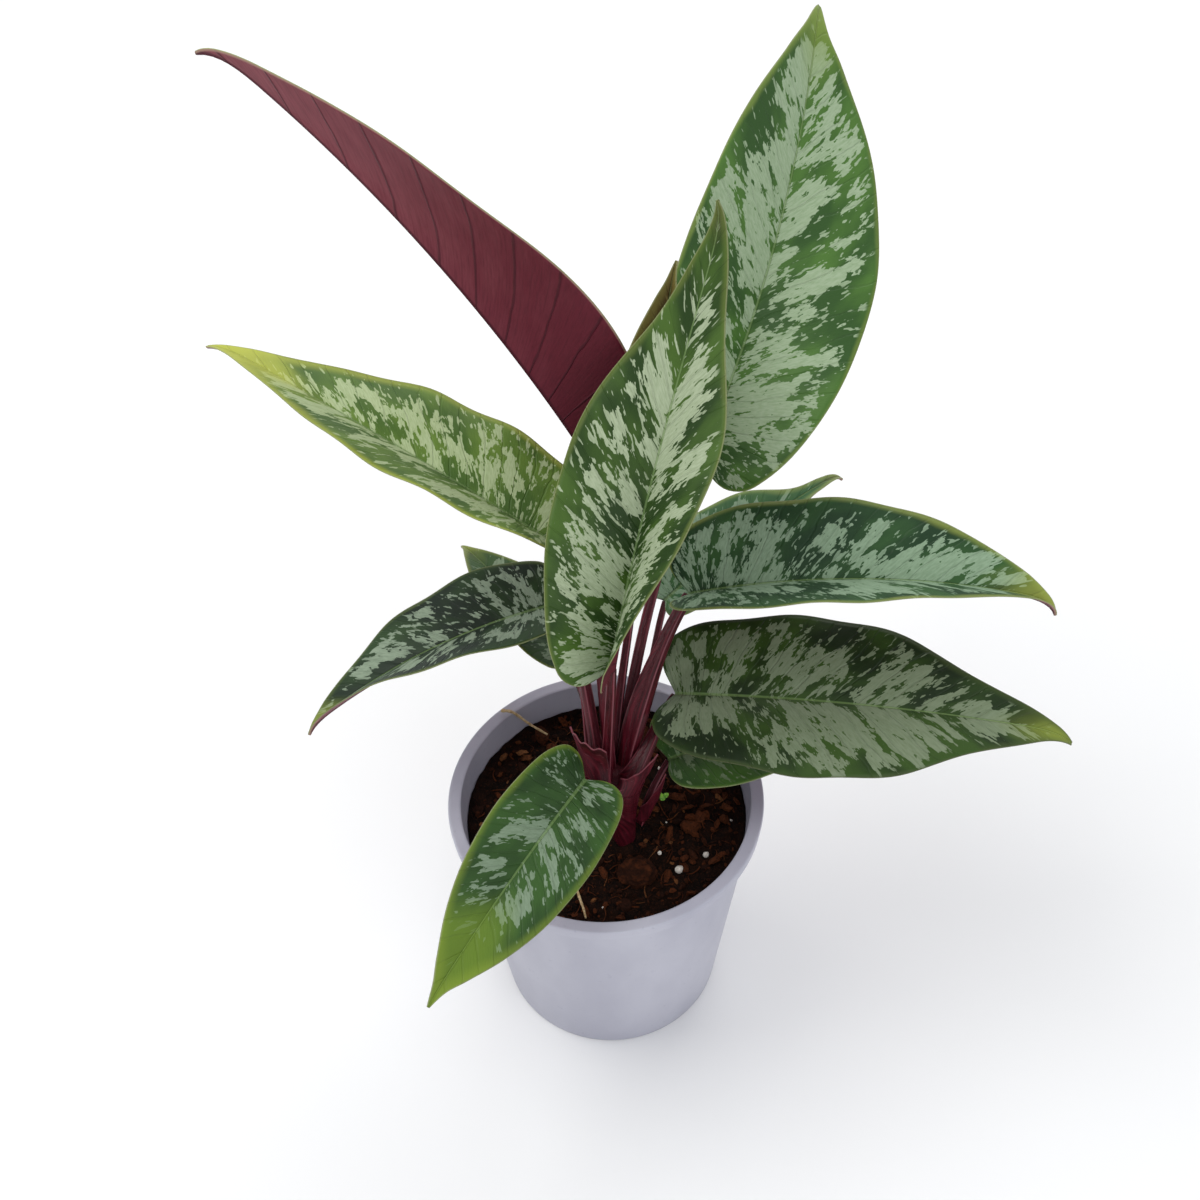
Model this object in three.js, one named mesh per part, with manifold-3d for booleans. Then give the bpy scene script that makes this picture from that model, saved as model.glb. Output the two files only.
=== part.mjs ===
// Potted lavallaei apoballis: a tapered nursery pot, its potting mix, and a young plant with
// twelve folded leaves on long stalks. Millimetres, +Z up. The origin is the middle of the
// pot's flat base, on the surface that the pot stands on.
import * as THREE from "three";
import { mergeVertices } from "three/addons/utils/BufferGeometryUtils.js";
import Module from "manifold-3d";

// Driving dimensions of the pot
const RIM_RADIUS = 60;
const POT_HEIGHT = 110;
const RIM_WIDTH = 5;
const RIM_SKIRT = 5.5;
const BASE_RADIUS = 44;
const POT_WALL = 1.4;
const POT_FLOOR = 2.2;
const POT_SIDES = 48;
const CHANNEL_INNER = 23;
const CHANNEL_OUTER = 34;
const CHANNEL_RISE = 2.5;
const DRAIN_HOLES = 8;
const DRAIN_RADIUS = 3.4;

// Driving dimensions of the potting mix
const MIX_LEVEL = 98;
const MIX_RELIEF = 1.3;
const MIX_RINGS = 9;
const MIX_SIDES = 40;
const CHIP_COUNT = 64;
const PERLITE_COUNT = 7;

// Driving dimensions of the plant
const SEAT_GAP = 0.3;
const BLADE_GAP = 0.8;
const BLADE_THICKNESS = 0.8;
const KEEL_DEPTH = 1.3;
const VEIN_LEAD = 1.9;
const BLADE_COLUMNS = [0, 0.09, 0.4, 0.72, 1];
const PETIOLE_SIDES = 10;
const PETIOLE_RINGS = 12;
const SWELL_AT = 0.35;
const SWELL_REACH = 0.28;
const CROWN_TOP = 130;
const CROWN_FOOT = 72;
const HOLE_RADIUS = 4.8;

const COLOURS = {
  pot: 0x9a9fae,
  mix: 0x2f1d14,
  stalk: 0x6d1f33,
  leaf: 0x3f6b3a,
  underside: 0x5a2233,
  young: 0x6f6a34,
  root: 0xc9b287,
};

// Half of a flat blade: along the midrib over its length, and out from it over the half width.
const HALF_OUTLINE = [
  [0, 0.07],
  [-0.03, 0.24],
  [-0.04, 0.48],
  [-0.012, 0.72],
  [0.075, 0.9],
  [0.22, 0.99],
  [0.38, 1],
  [0.56, 0.9],
  [0.73, 0.66],
  [0.86, 0.34],
  [0.93, 0.14],
  [1, 0.02],
];

// Each leaf: where its blade joins its stalk, how the midrib runs (angles in degrees, heading
// from +X towards +Y, climb above the level), how the halves fold up from the midrib, and the
// stalk's foot and the two points that draw its curve.
const LEAVES = [
  {
    name: "back_right",
    seat: [39, 73.5, 214.5],
    length: 174, width: 80, heading: 55, climb: 42, arch: -2, hook: -48, sweep: 25,
    roll: -22, twist: -20, fold: [44, 47], cup: [8, 18], relax: [0.8, 1], tail: 0,
    wave: 0.8, waves: 4, phase: 0.1, rows: 21, colour: "leaf",
    foot: [7.4, 5, CROWN_TOP], bends: [[9, 14, 155], [24, 54, 196]], radii: [2.3, 1.7],
  },
  {
    name: "front_centre",
    seat: [3.5, -5, 190],
    length: 164, width: 62, heading: 72, climb: 46, arch: 20, hook: 45, sweep: -22,
    roll: 6, twist: 9, fold: [60, 84], cup: [16, 14], relax: [1.0, 1.42], tail: 0.66,
    wave: 0.7, waves: 4, phase: 0.3, rows: 21, colour: "leaf",
    foot: [0.8, -8.2, CROWN_TOP], bends: [[1.4, -8.5, 150], [3, -8, 172]], radii: [2, 1.7],
  },
  {
    name: "upper_left",
    seat: [-5.5, 70, 228],
    length: 189, width: 75, heading: 145, climb: 52, arch: -24, hook: -50, sweep: 5,
    roll: -62, twist: 15, fold: [61, 61], cup: [14, 13], relax: [0.65, 0.65], tail: 0.3,
    wave: 2.4, waves: 1.5, phase: 0, rows: 21, colour: "underside",
    foot: [1.8, -2.4, CROWN_TOP], bends: [[1, 6, 168], [-3, 48, 206]], radii: [2.2, 1.7],
  },
  {
    name: "left",
    seat: [-16, 47, 201],
    length: 145, width: 64, heading: 155, climb: 25, arch: -8, hook: -38, sweep: -2,
    roll: -13, twist: -7, fold: [39, 39], cup: [18, 15], relax: [0.7, 0.85], tail: 0.37,
    wave: 1, waves: 4, phase: 0, rows: 19, colour: "leaf",
    foot: [-2.6, -4.6, CROWN_TOP], bends: [[-3.5, 2, 155], [-10, 34, 187]], radii: [2.3, 1.6],
  },
  {
    name: "lower_left",
    seat: [-17, 49, 165],
    length: 106, width: 50, heading: 194, climb: -2, arch: -26, hook: -37, sweep: 12,
    roll: -1, twist: -34, fold: [26, 26], cup: [15, 19], relax: [0, 0], tail: 0.3,
    wave: 0.9, waves: 3, phase: 0.2, rows: 15, colour: "leaf",
    foot: [-4.6, 0, CROWN_TOP], bends: [[-6, 8, 146], [-6, 43, 160]], radii: [1.9, 1.4],
  },
  {
    name: "back_left",
    seat: [-12, 38, 146],
    length: 74, width: 37, heading: 126, climb: 14, arch: -22, hook: -19, sweep: -2,
    roll: -10, twist: -8, fold: [27, 25], cup: [15, 16], relax: [0.4, 0.4], tail: 0.3,
    wave: 0.5, waves: 3, phase: 0.4, rows: 14, colour: "leaf",
    foot: [-1, 3.2, CROWN_TOP], bends: [[-3, 10, 137], [-7, 26, 141]], radii: [1.7, 1.2],
  },
  {
    name: "right_upper",
    seat: [33, 38, 180],
    length: 139, width: 63, heading: -1, climb: 13, arch: -28, hook: -60, sweep: -6,
    roll: -4, twist: 5, fold: [31, 46], cup: [14, 19], relax: [0.1, 0.1], tail: 0.15,
    wave: 0.8, waves: 4, phase: 0.6, rows: 19, colour: "leaf",
    foot: [8, -1.9, CROWN_TOP], bends: [[12, 4, 155], [22, 24, 172]], radii: [3.1, 2.1],
    swell: 1.1,
  },
  {
    name: "right_lower",
    seat: [27, 16, 150],
    length: 147, width: 67, heading: -11, climb: 8, arch: -17, hook: -44, sweep: 2,
    roll: 0, twist: -15, fold: [23, 16], cup: [18, 22], relax: [0.35, 0.35], tail: 0.55,
    wave: 0.9, waves: 4, phase: 0.15, rows: 20, colour: "leaf",
    foot: [7.4, -10.5, CROWN_TOP], bends: [[13.6, -11, 140], [19.3, 8, 143.8]], radii: [4.1, 1.45],
  },
  {
    name: "front_lower",
    seat: [-7, -17, 144],
    length: 103, width: 42, heading: 240, climb: 10, arch: -22, hook: -16, sweep: -3,
    roll: 30, twist: 5, fold: [24, 26], cup: [19, 17], relax: [0.3, 0.3], tail: 0.05,
    wave: 0.5, waves: 3, phase: 0.35, rows: 17, colour: "leaf",
    foot: [-3.8, -12.1, 121.5], bends: [[-7, -16, 128], [-5, -13.5, 140]], radii: [1.8, 1.4],
  },
  {
    name: "low_right",
    seat: [24, 4, 126],
    length: 73, width: 44, heading: 20, climb: 2, arch: -20, hook: -25, sweep: 3,
    roll: -7, twist: -5, fold: [27, 25], cup: [16, 17], relax: [0.4, 0.4], tail: 0.3,
    wave: 0.4, waves: 3, phase: 0.7, rows: 14, colour: "leaf",
    foot: [12.9, -10, 106], bends: [[14.5, -10, 118], [19, -1, 120]], radii: [1.6, 1.2],
  },
  {
    name: "right_back",
    seat: [25, 49, 165],
    length: 95, width: 38, heading: 37, climb: 17, arch: -22, hook: -55, sweep: 1,
    roll: 1, twist: 1, fold: [26, 26], cup: [16, 16], relax: [0.35, 0.35], tail: 1.1,
    wave: 0.5, waves: 3, phase: 0.5, rows: 14, colour: "leaf",
    foot: [11.3, 2.6, CROWN_TOP], bends: [[15, 9, 140], [20, 36, 158]], radii: [1.7, 1.2],
  },
  {
    name: "young",
    seat: [16.2, 51.3, 199.7],
    length: 101, width: 32, heading: 67, climb: 78, arch: -20, hook: -18, sweep: 2,
    roll: 0, twist: -2, fold: [44, 60], cup: [16, 16], relax: [0.4, 0.4], tail: 0.1,
    wave: 0.3, waves: 3, phase: 0.2, rows: 14, colour: "young",
    foot: [3.8, 2.4, CROWN_TOP], bends: [[5, 7, 155], [14, 45, 174]], radii: [1.7, 1.3],
  },
];

// Thin winged edges of the stalks: a curved sheet round a leaning axis, from the radii of its
// foot to those of its top, with a pointed top edge.
const SHEATHS = [
  {
    name: "front", foot: [7.6, -10.7, CROWN_TOP], lean: [0.4, 0.16, 1],
    radii: [[5.1, 5.1], [5, 5]],
    from: 205, to: 345, height: 20, shoulder: 0.35, peak: 0.8,
  },
  {
    name: "left", foot: [4.4, -4.5, CROWN_TOP], lean: [-0.06, 0.13, 1],
    radii: [[11.8, 11.4], [14, 10.6]],
    from: 182, to: 262, height: 27, shoulder: 0.9, peak: 0.12,
  },
  {
    name: "right", foot: [13.4, -10, 110], lean: [0.27, 0.1, 1],
    radii: [[2.7, 2.7], [3.2, 3.2]],
    from: 215, to: 360, height: 26, shoulder: 0.3, peak: 0.6,
  },
];

// Dry pale roots: the back one lies over the rim and down to the mix, the front one leans on
// the wall.
const ROOT_STRANDS = [
  {
    name: "back", radius: 0.7,
    route: [[-40, 42.5, 111.1], [-35.5, 41.4, 111], [-29, 39.8, 105], [-22.3, 37.6, 100.8]],
  },
  {
    name: "front", radius: 0.6,
    route: [[-12.5, -33, 100.3], [-10.8, -40, 101.2], [-9.6, -45, 102.4], [-8.9, -49.6, 104]],
  },
];

const wasm = await Module();
wasm.setup();

function radians(degrees) {
  return (degrees * Math.PI) / 180;
}

function mix(a, b, t) {
  return a + (b - a) * t;
}

function clamp01(t) {
  return Math.min(1, Math.max(0, t));
}

// A repeatable stream of numbers between 0 and 1 from a whole-number seed.
function seededRandom(seed) {
  let state = seed;
  return () => {
    state = (Math.imul(state, 1664525) + 1013904223) >>> 0;
    return state / 4294967296;
  };
}

function toSolid(geometry) {
  const bare = geometry.index ? geometry.toNonIndexed() : geometry.clone();
  bare.deleteAttribute("normal");
  bare.deleteAttribute("uv");
  const merged = mergeVertices(bare, 1e-3);
  return new wasm.Manifold(
    new wasm.Mesh({
      numProp: 3,
      vertProperties: merged.attributes.position.array,
      triVerts: new Uint32Array(merged.index.array),
    }),
  );
}

function toGeometry(solid) {
  const mesh = solid.getMesh();
  const geometry = new THREE.BufferGeometry();
  geometry.setAttribute("position", new THREE.BufferAttribute(mesh.vertProperties, 3));
  geometry.setIndex(new THREE.BufferAttribute(mesh.triVerts, 1));
  geometry.computeVertexNormals();
  return geometry;
}

function named(name, geometry, colour, roughness) {
  const material = new THREE.MeshStandardMaterial({ color: colour, roughness, metalness: 0 });
  const mesh = new THREE.Mesh(geometry, material);
  mesh.name = name;
  return mesh;
}

// A closed thin solid from two matching grids of points, [row][column]. Both faces are split
// along the same diagonals, so a waved sheet never crosses itself.
function sheetSolid(front, back) {
  const rows = front.length;
  const columns = front[0].length;
  const points = [...front.flat(), ...back.flat()];
  const backStart = rows * columns;
  const at = (r, c) => r * columns + c;
  const index = [];
  for (let r = 0; r < rows - 1; r++) {
    for (let c = 0; c < columns - 1; c++) {
      const [a, b, d, e] = [at(r, c), at(r, c + 1), at(r + 1, c), at(r + 1, c + 1)];
      const leftHalf = c < (columns - 1) / 2;
      const split = leftHalf ? [a, b, e, a, e, d] : [a, b, d, b, e, d];
      index.push(...split);
      for (let k = 0; k < split.length; k += 3) {
        index.push(split[k] + backStart, split[k + 2] + backStart, split[k + 1] + backStart);
      }
    }
  }
  const border = [];
  for (let c = 0; c < columns - 1; c++) border.push([at(0, c + 1), at(0, c)]);
  for (let r = 0; r < rows - 1; r++) border.push([at(r, 0), at(r + 1, 0)]);
  for (let c = 0; c < columns - 1; c++) border.push([at(rows - 1, c), at(rows - 1, c + 1)]);
  for (let r = 0; r < rows - 1; r++) border.push([at(r + 1, columns - 1), at(r, columns - 1)]);
  for (const [a, b] of border) {
    index.push(a, b, b + backStart, a, b + backStart, a + backStart);
  }
  const geometry = new THREE.BufferGeometry();
  geometry.setAttribute(
    "position",
    new THREE.Float32BufferAttribute(points.flatMap((p) => [p.x, p.y, p.z]), 3),
  );
  geometry.setIndex(index);
  const solid = toSolid(geometry);
  return solid.volume() < 0 ? flipped(geometry) : geometry;
}

function flipped(geometry) {
  const index = geometry.index.array;
  for (let i = 0; i < index.length; i += 3) {
    [index[i + 1], index[i + 2]] = [index[i + 2], index[i + 1]];
  }
  return geometry;
}

// A closed body through rings of points, with flat ends.
function loftSolid(rings) {
  const sides = rings[0].length;
  const points = rings.flat();
  const index = [];
  for (let r = 0; r < rings.length - 1; r++) {
    for (let s = 0; s < sides; s++) {
      const a = r * sides + s;
      const b = r * sides + ((s + 1) % sides);
      index.push(a, b, b + sides, a, b + sides, a + sides);
    }
  }
  const last = (rings.length - 1) * sides;
  for (let s = 1; s < sides - 1; s++) {
    index.push(0, s + 1, s);
    index.push(last, last + s, last + s + 1);
  }
  const geometry = new THREE.BufferGeometry();
  geometry.setAttribute(
    "position",
    new THREE.Float32BufferAttribute(points.flatMap((p) => [p.x, p.y, p.z]), 3),
  );
  geometry.setIndex(index);
  return toSolid(geometry).volume() < 0 ? flipped(geometry) : geometry;
}

// The pot: one turned profile, with drainage holes through the raised channel of its base
function makePot() {
  const rimInner = RIM_RADIUS - RIM_WIDTH;
  const skirtZ = POT_HEIGHT - RIM_SKIRT;
  const wallTop = rimInner + POT_WALL;
  const profile = [
    [0, 0],
    [CHANNEL_INNER - 1, 0],
    [CHANNEL_INNER, CHANNEL_RISE],
    [CHANNEL_OUTER, CHANNEL_RISE],
    [CHANNEL_OUTER + 1, 0],
    [BASE_RADIUS - 1.2, 0],
    [BASE_RADIUS, 1.2],
    [wallTop, skirtZ + 1.6],
    [wallTop + 0.5, POT_HEIGHT - 1.6],
    [RIM_RADIUS - 1.5, POT_HEIGHT - 1.6],
    [RIM_RADIUS - 1.7, skirtZ],
    [RIM_RADIUS - 0.5, skirtZ],
    [RIM_RADIUS, POT_HEIGHT - 0.8],
    [RIM_RADIUS - 0.8, POT_HEIGHT],
    [rimInner + 0.8, POT_HEIGHT],
    [rimInner, POT_HEIGHT - 0.8],
    [BASE_RADIUS - POT_WALL, POT_FLOOR + 1],
    [BASE_RADIUS - POT_WALL - 1, POT_FLOOR],
    [CHANNEL_OUTER + 2, POT_FLOOR],
    [CHANNEL_OUTER + 1, CHANNEL_RISE + POT_FLOOR],
    [CHANNEL_INNER - 1, CHANNEL_RISE + POT_FLOOR],
    [CHANNEL_INNER - 2, POT_FLOOR],
    [0, POT_FLOOR],
  ].map(([r, z]) => new THREE.Vector2(r, z));
  const turned = new THREE.LatheGeometry(profile, POT_SIDES).rotateX(Math.PI / 2);
  let solid = toSolid(turned);
  const holeRing = (CHANNEL_INNER + CHANNEL_OUTER) / 2;
  for (let i = 0; i < DRAIN_HOLES; i++) {
    const angle = (i / DRAIN_HOLES) * 2 * Math.PI;
    const drill = new THREE.CylinderGeometry(DRAIN_RADIUS, DRAIN_RADIUS, 20, 12)
      .rotateX(Math.PI / 2)
      .translate(holeRing * Math.cos(angle), holeRing * Math.sin(angle), 0);
    solid = solid.subtract(toSolid(drill));
  }
  return toGeometry(solid);
}

// The pot's inner radius at a height, for what fills it
function potInnerRadius(z) {
  const low = BASE_RADIUS - POT_WALL;
  const high = RIM_RADIUS - RIM_WIDTH;
  return mix(low, high, clamp01((z - POT_FLOOR - 1) / (POT_HEIGHT - 0.8 - POT_FLOOR - 1)));
}

function mixHeight(x, y) {
  const radius = Math.hypot(x, y) / potInnerRadius(MIX_LEVEL);
  const swell = Math.sin(x * 0.11 + 0.6) * Math.cos(y * 0.13 - 0.4);
  const lumps = Math.sin(x * 0.41 + y * 0.17) * Math.sin(y * 0.37 - x * 0.12 + 1.3);
  const fade = 1 - 0.6 * radius ** 6;
  return MIX_LEVEL + MIX_RELIEF * fade * (0.7 * swell + 0.6 * lumps);
}

// The potting mix: a lumpy plug with chips and perlite grains rooted in its surface
function makeMix() {
  const floor = CHANNEL_RISE + POT_FLOOR + SEAT_GAP;
  const edge = potInnerRadius(MIX_LEVEL) - 0.6;
  const ringAt = (radius, height) =>
    Array.from({ length: MIX_SIDES }, (_, s) => {
      const angle = (s / MIX_SIDES) * 2 * Math.PI;
      const [x, y] = [radius * Math.cos(angle), radius * Math.sin(angle)];
      return new THREE.Vector3(x, y, height ?? mixHeight(x, y));
    });
  const rings = [];
  rings.push(ringAt(potInnerRadius(floor) - 1.2, floor));
  for (let i = 0; i < MIX_RINGS; i++) rings.push(ringAt(mix(edge, 1.5, i / (MIX_RINGS - 1))));
  let solid = toSolid(loftSolid(rings));
  const random = seededRandom(20);
  const grains = [];
  for (let i = 0; i < CHIP_COUNT + PERLITE_COUNT; i++) {
    const perlite = i >= CHIP_COUNT;
    const radius = 7 + 42 * Math.sqrt(random());
    const angle = random() * 2 * Math.PI;
    const [x, y] = [radius * Math.cos(angle), radius * Math.sin(angle)];
    const size = perlite ? 1.3 + 0.5 * random() : 1.6 + 2.6 * random() ** 2;
    const grain = perlite ? new THREE.IcosahedronGeometry(size) : new THREE.OctahedronGeometry(size);
    grain.scale(1, perlite ? 0.9 : 0.45 + 0.4 * random(), perlite ? 0.9 : 0.4 + 0.3 * random());
    grain.rotateX((random() - 0.5) * 0.9);
    grain.rotateZ(random() * Math.PI);
    grain.translate(x, y, mixHeight(x, y) + size * 0.15);
    if (Math.hypot(x - CROWN_LINE[0].x, y - CROWN_LINE[0].y) > HOLE_RADIUS + 5) {
      grains.push(toSolid(grain));
    }
  }
  solid = wasm.Manifold.union([solid, ...grains]);
  const [cx, cy] = [CROWN_LINE[0].x, CROWN_LINE[0].y];
  const depth = MIX_LEVEL + 20 - (CROWN_FOOT - SEAT_GAP);
  const hole = new THREE.CylinderGeometry(HOLE_RADIUS, HOLE_RADIUS, depth, 20)
    .rotateX(Math.PI / 2)
    .translate(cx, cy, CROWN_FOOT - SEAT_GAP + depth / 2);
  return toGeometry(solid.subtract(toSolid(hole)));
}

// The crown: narrow where it stands in the mix, and wide above where the stalks' bases wrap it
const CROWN_LINE = [
  { x: 6.5, y: -10.5, z: CROWN_FOOT, rx: 3.4, ry: 3.4 },
  { x: 6.5, y: -10.5, z: 96, rx: 4.2, ry: 4.2 },
  { x: 6.4, y: -10.3, z: 102, rx: 4.5, ry: 4.5 },
  { x: 6, y: -9.6, z: 110, rx: 5.1, ry: 5 },
  { x: 5.2, y: -8, z: 118, rx: 6.6, ry: 6.2 },
  { x: 4.2, y: -6.2, z: 125, rx: 9, ry: 8.9 },
  { x: 3.7, y: -4.5, z: 129, rx: 10.8, ry: 10.8 },
  { x: 3.7, y: -4.3, z: CROWN_TOP - SEAT_GAP, rx: 10.6, ry: 10.6 },
];

function makeCrown() {
  const sides = 24;
  const ridges = 7;
  const rings = CROWN_LINE.map((at) =>
    Array.from({ length: sides }, (_, s) => {
      const angle = (s / sides) * 2 * Math.PI;
      const ribbed = 1 + 0.035 * clamp01((at.z - 104) / 20) * Math.cos(ridges * angle);
      return new THREE.Vector3(
        at.x + at.rx * ribbed * Math.cos(angle),
        at.y + at.ry * ribbed * Math.sin(angle),
        at.z,
      );
    }),
  );
  return loftSolid(rings);
}

// The flat half outline of a blade, evenly spaced along its margin from the seat to the tip
function flatMargin(leaf, count) {
  const points = HALF_OUTLINE.map(([along, out]) => {
    const pinch = 1 - 0.6 * leaf.tail * Math.sin(Math.PI * clamp01((along - 0.5) / 0.5) ** 1.3);
    return new THREE.Vector3(along * leaf.length, (out * pinch * leaf.width) / 2, 0);
  });
  return new THREE.CatmullRomCurve3(points, false, "catmullrom", 0.5).getSpacedPoints(count);
}

// The midrib's place and its three directions at a share of its length
function midribFrames(leaf, steps = 60) {
  const frames = [];
  const place = new THREE.Vector3(...leaf.seat);
  for (let i = 0; i <= steps; i++) {
    const s = i / steps;
    const heading = radians(leaf.heading + leaf.sweep * s);
    const hooked = clamp01((s - 0.85) / 0.15) ** 2;
    const climb = radians(leaf.climb + leaf.arch * s + leaf.hook * hooked);
    const roll = radians(leaf.roll + leaf.twist * s);
    const along = new THREE.Vector3(
      Math.cos(climb) * Math.cos(heading),
      Math.cos(climb) * Math.sin(heading),
      Math.sin(climb),
    );
    const level = new THREE.Vector3(-Math.sin(heading), Math.cos(heading), 0);
    const up = new THREE.Vector3().crossVectors(along, level);
    const normal = up.clone().multiplyScalar(Math.cos(roll)).addScaledVector(level, Math.sin(roll));
    const left = level.clone().multiplyScalar(Math.cos(roll)).addScaledVector(up, -Math.sin(roll));
    if (i > 0) place.addScaledVector(along.clone().add(frames[i - 1].along), leaf.length / steps / 2);
    frames.push({ place: place.clone(), along, left, normal });
  }
  return frames;
}

function frameAt(frames, share) {
  const q = clamp01(share) * (frames.length - 1);
  const i = Math.min(Math.floor(q), frames.length - 2);
  const between = (key) => frames[i][key].clone().lerp(frames[i + 1][key], q - i);
  return {
    place: between("place"),
    along: between("along").normalize(),
    left: between("left").normalize(),
    normal: between("normal").normalize(),
  };
}

// A flat blade point, x along the midrib and y to its left, folded and curved into place. The
// result is the point on the upper face and the face's outward direction there.
function bladePoint(leaf, frames, x, y) {
  const share = clamp01(x / leaf.length);
  const { place, along, left, normal } = frameAt(frames, share);
  const side = y < 0 ? 1 : 0;
  const sign = Math.sign(y);
  const half = leaf.width / 2;
  const out = Math.abs(y) / half;
  const fold = (1 - leaf.relax[side] * share) * radians(leaf.fold[side]);
  const cup = radians(leaf.cup[side]);
  const across = (half / cup) * (Math.sin(fold) - Math.sin(fold - cup * out));
  const rise = (half / cup) * (Math.cos(fold - cup * out) - Math.cos(fold));
  const ripple = Math.sin(2 * Math.PI * (leaf.waves * share + leaf.phase + 0.37 * side));
  const point = place
    .addScaledVector(along, Math.min(x, 0))
    .addScaledVector(left, sign * across)
    .addScaledVector(normal, rise + leaf.wave * out * out * ripple);
  const slope = sign === 0 ? 0 : fold - cup * out;
  const face = normal
    .clone()
    .multiplyScalar(Math.cos(slope))
    .addScaledVector(left, -sign * Math.sin(slope))
    .normalize();
  return { point, face };
}

// A blade: rows run along the side veins, from the midrib forward to the margin
function makeBlade(leaf) {
  const frames = midribFrames(leaf);
  const margin = flatMargin(leaf, leaf.rows);
  const signedColumns = [...BLADE_COLUMNS.slice(1).reverse(), ...BLADE_COLUMNS.map((t) => -t)];
  const front = [];
  const back = [];
  margin.forEach((edge, row) => {
    const q = row / leaf.rows;
    const foot = leaf.length * q ** VEIN_LEAD;
    const frontRow = [];
    const backRow = [];
    for (const column of signedColumns) {
      const t = Math.abs(column);
      const sign = column > 0 ? 1 : -1;
      const { point, face } = bladePoint(leaf, frames, mix(foot, edge.x, t), sign * edge.y * t);
      const keel = KEEL_DEPTH * (1 - 0.85 * q) * clamp01(1 - t / 0.2);
      frontRow.push(point);
      backRow.push(point.clone().addScaledVector(face, -(BLADE_THICKNESS + keel)));
    }
    front.push(frontRow);
    back.push(backRow);
  });
  return sheetSolid(front, back);
}

// Round sections along a curve, with the radius given as a function of the share of it
function tubeRings(curve, rings, sides, radiusAt) {
  const frames = curve.computeFrenetFrames(rings, false);
  return Array.from({ length: rings + 1 }, (_, i) => {
    const centre = curve.getPointAt(i / rings);
    const radius = radiusAt(i / rings);
    return Array.from({ length: sides }, (_, s) => {
      const angle = (s / sides) * 2 * Math.PI;
      return centre
        .clone()
        .addScaledVector(frames.normals[i], radius * Math.cos(angle))
        .addScaledVector(frames.binormals[i], radius * Math.sin(angle));
    });
  });
}

// A stalk: a tapered round loft from its foot to just short of the blade's seat
function makePetiole(leaf) {
  const [seat] = midribFrames(leaf);
  const end = seat.place
    .clone()
    .addScaledVector(seat.normal, -(BLADE_THICKNESS + KEEL_DEPTH) / 2)
    .addScaledVector(seat.along, -BLADE_GAP);
  const curve = new THREE.CubicBezierCurve3(
    new THREE.Vector3(...leaf.foot),
    new THREE.Vector3(...leaf.bends[0]),
    new THREE.Vector3(...leaf.bends[1]),
    end,
  );
  const radiusAt = (t) => {
    const swollen = (leaf.swell ?? 0) * Math.exp(-(((t - SWELL_AT) / SWELL_REACH) ** 2));
    return mix(leaf.radii[1], leaf.radii[0], (1 - t) ** 1.4) + swollen;
  };
  const rings = tubeRings(curve, PETIOLE_RINGS, PETIOLE_SIDES, radiusAt);
  if (leaf.foot[2] === CROWN_TOP) {
    for (const point of rings[0]) point.z = CROWN_TOP;
  }
  const arrival = curve.getTangent(1);
  const slant = arrival.dot(seat.along);
  for (const point of rings[PETIOLE_RINGS]) {
    const beyond = point.clone().sub(end).dot(seat.along);
    point.addScaledVector(arrival, -beyond / slant);
  }
  return loftSolid(rings);
}

function makeRootStrand(strand) {
  const curve = new THREE.CatmullRomCurve3(strand.route.map((at) => new THREE.Vector3(...at)));
  return loftSolid(tubeRings(curve, 8, 6, (t) => strand.radius * (1 - 0.4 * t)));
}

// A sheath wing: its top edge climbs to a point at its peak
function makeSheath(sheath) {
  const rows = 4;
  const columns = 9;
  const thickness = 0.7;
  const foot = new THREE.Vector3(...sheath.foot);
  const lean = new THREE.Vector3(...sheath.lean);
  const front = [];
  const back = [];
  for (let r = 0; r <= rows; r++) {
    const h = r / rows;
    const frontRow = [];
    const backRow = [];
    for (let c = 0; c <= columns; c++) {
      const a = c / columns;
      const angle = radians(mix(sheath.from, sheath.to, a));
      const away = a < sheath.peak ? a / sheath.peak : (1 - a) / (1 - sheath.peak);
      const top = mix(sheath.shoulder, 1, away ** 1.5);
      const [low, high] = sheath.radii;
      const outward = new THREE.Vector3(Math.cos(angle), Math.sin(angle), 0);
      const reach = new THREE.Vector3(mix(low[0], high[0], h), mix(low[1], high[1], h), 0);
      const point = foot
        .clone()
        .addScaledVector(lean, h * top * sheath.height)
        .add(reach.multiply(outward));
      frontRow.push(point);
      backRow.push(point.clone().addScaledVector(outward, -thickness));
    }
    front.push(frontRow);
    back.push(backRow);
  }
  return sheetSolid(front, back);
}

const plant = new THREE.Group();
plant.add(named("pot", makePot(), COLOURS.pot, 0.5));
plant.add(named("potting_mix", makeMix(), COLOURS.mix, 0.95));
plant.add(named("crown", makeCrown(), COLOURS.stalk, 0.45));
for (const leaf of LEAVES) {
  plant.add(named("petiole_" + leaf.name, makePetiole(leaf), COLOURS.stalk, 0.45));
  plant.add(named("blade_" + leaf.name, makeBlade(leaf), COLOURS[leaf.colour], 0.4));
}
for (const sheath of SHEATHS) {
  plant.add(named("sheath_" + sheath.name, makeSheath(sheath), COLOURS.stalk, 0.45));
}
for (const strand of ROOT_STRANDS) {
  plant.add(named("root_strand_" + strand.name, makeRootStrand(strand), COLOURS.root, 0.8));
}

export default plant;
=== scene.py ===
"""Potted lavallaei apoballis: leaves, stalks, crown, potting mix and pot, dressed over the frame."""

import logging
import math
import random
from dataclasses import dataclass, field
from enum import Enum
from typing import Callable, Sequence

import bmesh
import bpy
from mathutils import Euler, Matrix, Vector, noise

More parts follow.
